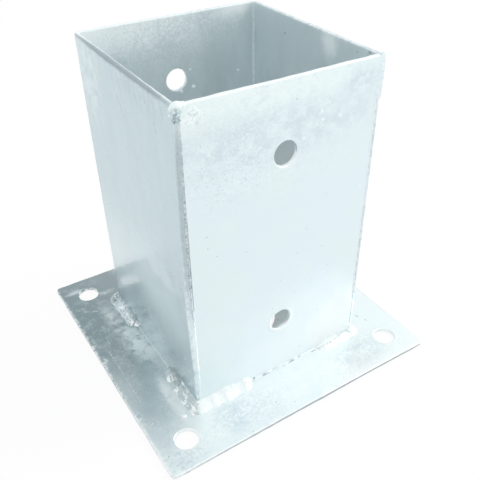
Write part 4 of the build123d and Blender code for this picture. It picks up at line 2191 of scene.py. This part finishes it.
def drops_of(outward: Point, *sizes: tuple[float, float, float, float]) -> tuple[ZincDrop, ...]:
    """Drops that sit on faces of one direction.

    Args:
        outward: the direction.
        sizes: x, y, z and radius of each, in millimetres.

    Returns:
        The drops.
    """
    return tuple(ZincDrop((x * MM, y * MM, z * MM), outward, radius * MM) for x, y, z, radius in sizes)


PHOTO_DROPS = (
    *drops_of(UP, (-55.4, -48.4, 2.1, 1.35), (-51.6, -50.0, 2.1, 0.8)),
    *drops_of(FORWARD, (2.0, 45.4, 117.3, 0.9), (9.0, 45.4, 118.4, 1.1), (7.6, 45.4, 127.5, 0.7),
              (35.7, 45.4, 121.8, 0.7)),
)
SMEARS = drops_of(FORWARD, (-41.5, -47.45, 150.4, 4.2))
CAP_DROPS = drops_of(UP, (-45.6, -46.8, 154.9, 2.1), (-43.8, -46.9, 154.8, 1.6))


@dataclass
class JointZinc:
    """Zinc that fills the two front seams and the joints between the sleeve and the plate."""

    channel: SleeveChannel
    seam_inset: float = 0.06 * MM
    bow_share: float = 0.6

    def bow(self, share: float) -> float:
        """Most of the left flange's bow, at a share of the seam's height."""
        z = LAYOUT.plate_top + share * (LAYOUT.rim_z - LAYOUT.plate_top)
        return self.bow_share * float(self.channel.bow_at(z))

    def seams(self) -> tuple[ZincLine, ...]:
        """Lines of zinc in the two front seams.

        Returns:
            The low and the high part of the left one, and the right one.
        """
        half, top, rim = LAYOUT.sleeve_half, LAYOUT.plate_top, LAYOUT.rim_z
        seam_x = half - LAYOUT.sheet - self.seam_inset
        left = (-seam_x, -half, top), (-seam_x, -half, rim), FORWARD
        right = (seam_x, -half, top), (seam_x, -half, rim), FORWARD
        return (
            ZincLine("seam_left_low", *left, ((0.0, 0.4),), 1.3 * MM, 1.15 * MM, bulge=self.bow, seed=1),
            ZincLine("seam_left_high", *left, ((0.38, 0.99),), 0.95 * MM, 0.95 * MM, bulge=self.bow, seed=7),
            ZincLine("seam_right", *right, ((0.0, 0.99),), 0.8 * MM, 0.72 * MM, lump=0.2 * MM, seed=2),
        )

    def joints(self) -> tuple[ZincLine, ...]:
        """Lines of zinc at the foot of the sleeve, in short lengths.

        Returns:
            The front, left, right and back ones.
        """
        half, top = LAYOUT.sleeve_half, LAYOUT.plate_top
        near_left, near_right = (-half, -half, top), (half, -half, top)
        far_left, far_right = (-half, half, top), (half, half, top)
        return (
            ZincLine("joint_front", near_left, near_right, (0.0, -SLANT, SLANT),
                     ((0.30, 0.395), (0.41, 0.455), (0.485, 0.574), (0.590, 0.624), (0.640, 0.76)),
                     0.9 * MM, 0.5 * MM, seed=3),
            ZincLine("joint_left", near_left, far_left, (-SLANT, 0.0, SLANT),
                     ((0.30, 0.43), (0.435, 0.53), (0.535, 0.72)), 0.75 * MM, 0.5 * MM, seed=4),
            ZincLine("joint_right", near_right, far_right, (SLANT, 0.0, SLANT),
                     ((0.29, 0.42), (0.426, 0.56), (0.567, 0.72)), 0.9 * MM, 0.5 * MM, seed=5),
            ZincLine("joint_back", far_left, far_right, (0.0, SLANT, SLANT),
                     ((0.27, 0.45), (0.457, 0.6), (0.607, 0.73)), 0.9 * MM, 0.5 * MM, seed=6),
        )

    def build(self, tool: BeadTool, seam_finish: Material, front_finish: Material,
              side_finish: Material) -> None:
        """Lay all lines, as three pieces.

        Args:
            tool: the tree that sweeps beads.
            seam_finish: material of the zinc in the seams.
            front_finish: material of the zinc along the front joint.
            side_finish: material of the zinc along the other joints.
        """
        front, *sides = self.joints()
        groups = (
            ("seam_zinc", self.seams(), seam_finish),
            ("joint_zinc_front", (front,), front_finish),
            ("joint_zinc_sides", sides, side_finish),
        )
        for name, lines, finish in groups:
            beads = [bead for line in lines for bead in line.build(tool, finish)]
            hand_over(join_pieces(name, beads), Slot.WELD)


@dataclass(frozen=True)
class WeldSet:
    """The four welds at the foot of the sleeve and the two on its front seams."""

    sharp: float = 0.3 * MM

    def foot(self) -> tuple[FootWeld, ...]:
        """Welds at the foot, near ones first.

        Returns:
            One weld for each corner.
        """
        sharp, fold = self.sharp, LAYOUT.fold_radius
        return (
            FootWeld("foot_weld_front_left_bead", -1, -1, 31.0 * MM, 31.0 * MM, sharp, lump=0.6 * MM,
                     lump_size=3.0 * MM, seed=1),
            FootWeld("foot_weld_front_right_bead", 1, -1, 24.5 * MM, 30.0 * MM, sharp, leg=4.2 * MM,
                     hollow=1.4, lump=0.7 * MM, seed=2),
            FootWeld("foot_weld_back_left_bead", -1, 1, 28.0 * MM, 28.0 * MM, fold, seed=3),
            FootWeld("foot_weld_back_right_bead", 1, 1, 28.0 * MM, 28.0 * MM, fold, seed=4),
        )

    def build(self, tool: BeadTool, weld_finish: Material,
              front_finish: Material) -> None:
        """Lay all six welds.

        Args:
            tool: the tree that sweeps beads.
            weld_finish: material of the foot welds and of the tack.
            front_finish: material of the stitch on the right seam.
        """
        for weld in self.foot():
            weld.build(tool, weld_finish)
        tack = SeamWeld("seam_tack_left_bead", -1, 6.3 * MM, 0.45 * MM, lump=1.0 * MM,
                        lump_size=1.7 * MM, seed=5)
        tack.build(tool, weld_finish)
        stitch = SeamWeld("seam_stitch_right_bead", 1, 19.0 * MM, 0.45 * MM, taper=6.0 * MM,
                          lump=1.2 * MM, seed=6)
        stitch.build(tool, front_finish)


def main() -> None:
    """Dress the base, light it and aim the camera."""
    logging.basicConfig(level=logging.INFO, format="%(name)s: %(message)s")
    plate_zinc, front_zinc = PLATE_ZINC.material(), FRONT_ZINC.material()
    channel_zinc, weld_zinc = CHANNEL_ZINC.material(), WELD_ZINC.material()
    plate = BasePlate().build(plate_zinc)
    front = FrontPlate().build(front_zinc)
    channel = SleeveChannel()
    sleeve = channel.build(channel_zinc)
    beads = BeadTool()
    WeldSet().build(beads, weld_zinc, front_zinc)
    JointZinc(channel).build(beads, SEAM_ZINC.material(), front_zinc, channel_zinc)
    drops = DropTool()
    drops.lay("zinc_drops", PHOTO_DROPS, weld_zinc)
    drops.lay("zinc_smears", SMEARS, front_zinc, flatness=0.09)
    drops.lay("zinc_cap", CAP_DROPS, weld_zinc, flatness=0.62)
    grains = GrainTool()
    grains.scatter("grains_plate", plate, 9000.0, 1, weld_zinc)
    grains.scatter("grains_front", front, 4000.0, 2, weld_zinc)
    grains.scatter("grains_sleeve", sleeve, 6000.0, 3, weld_zinc)
    Studio().build()
    PhotoCamera().place()


if __name__ == "__main__":
    main()
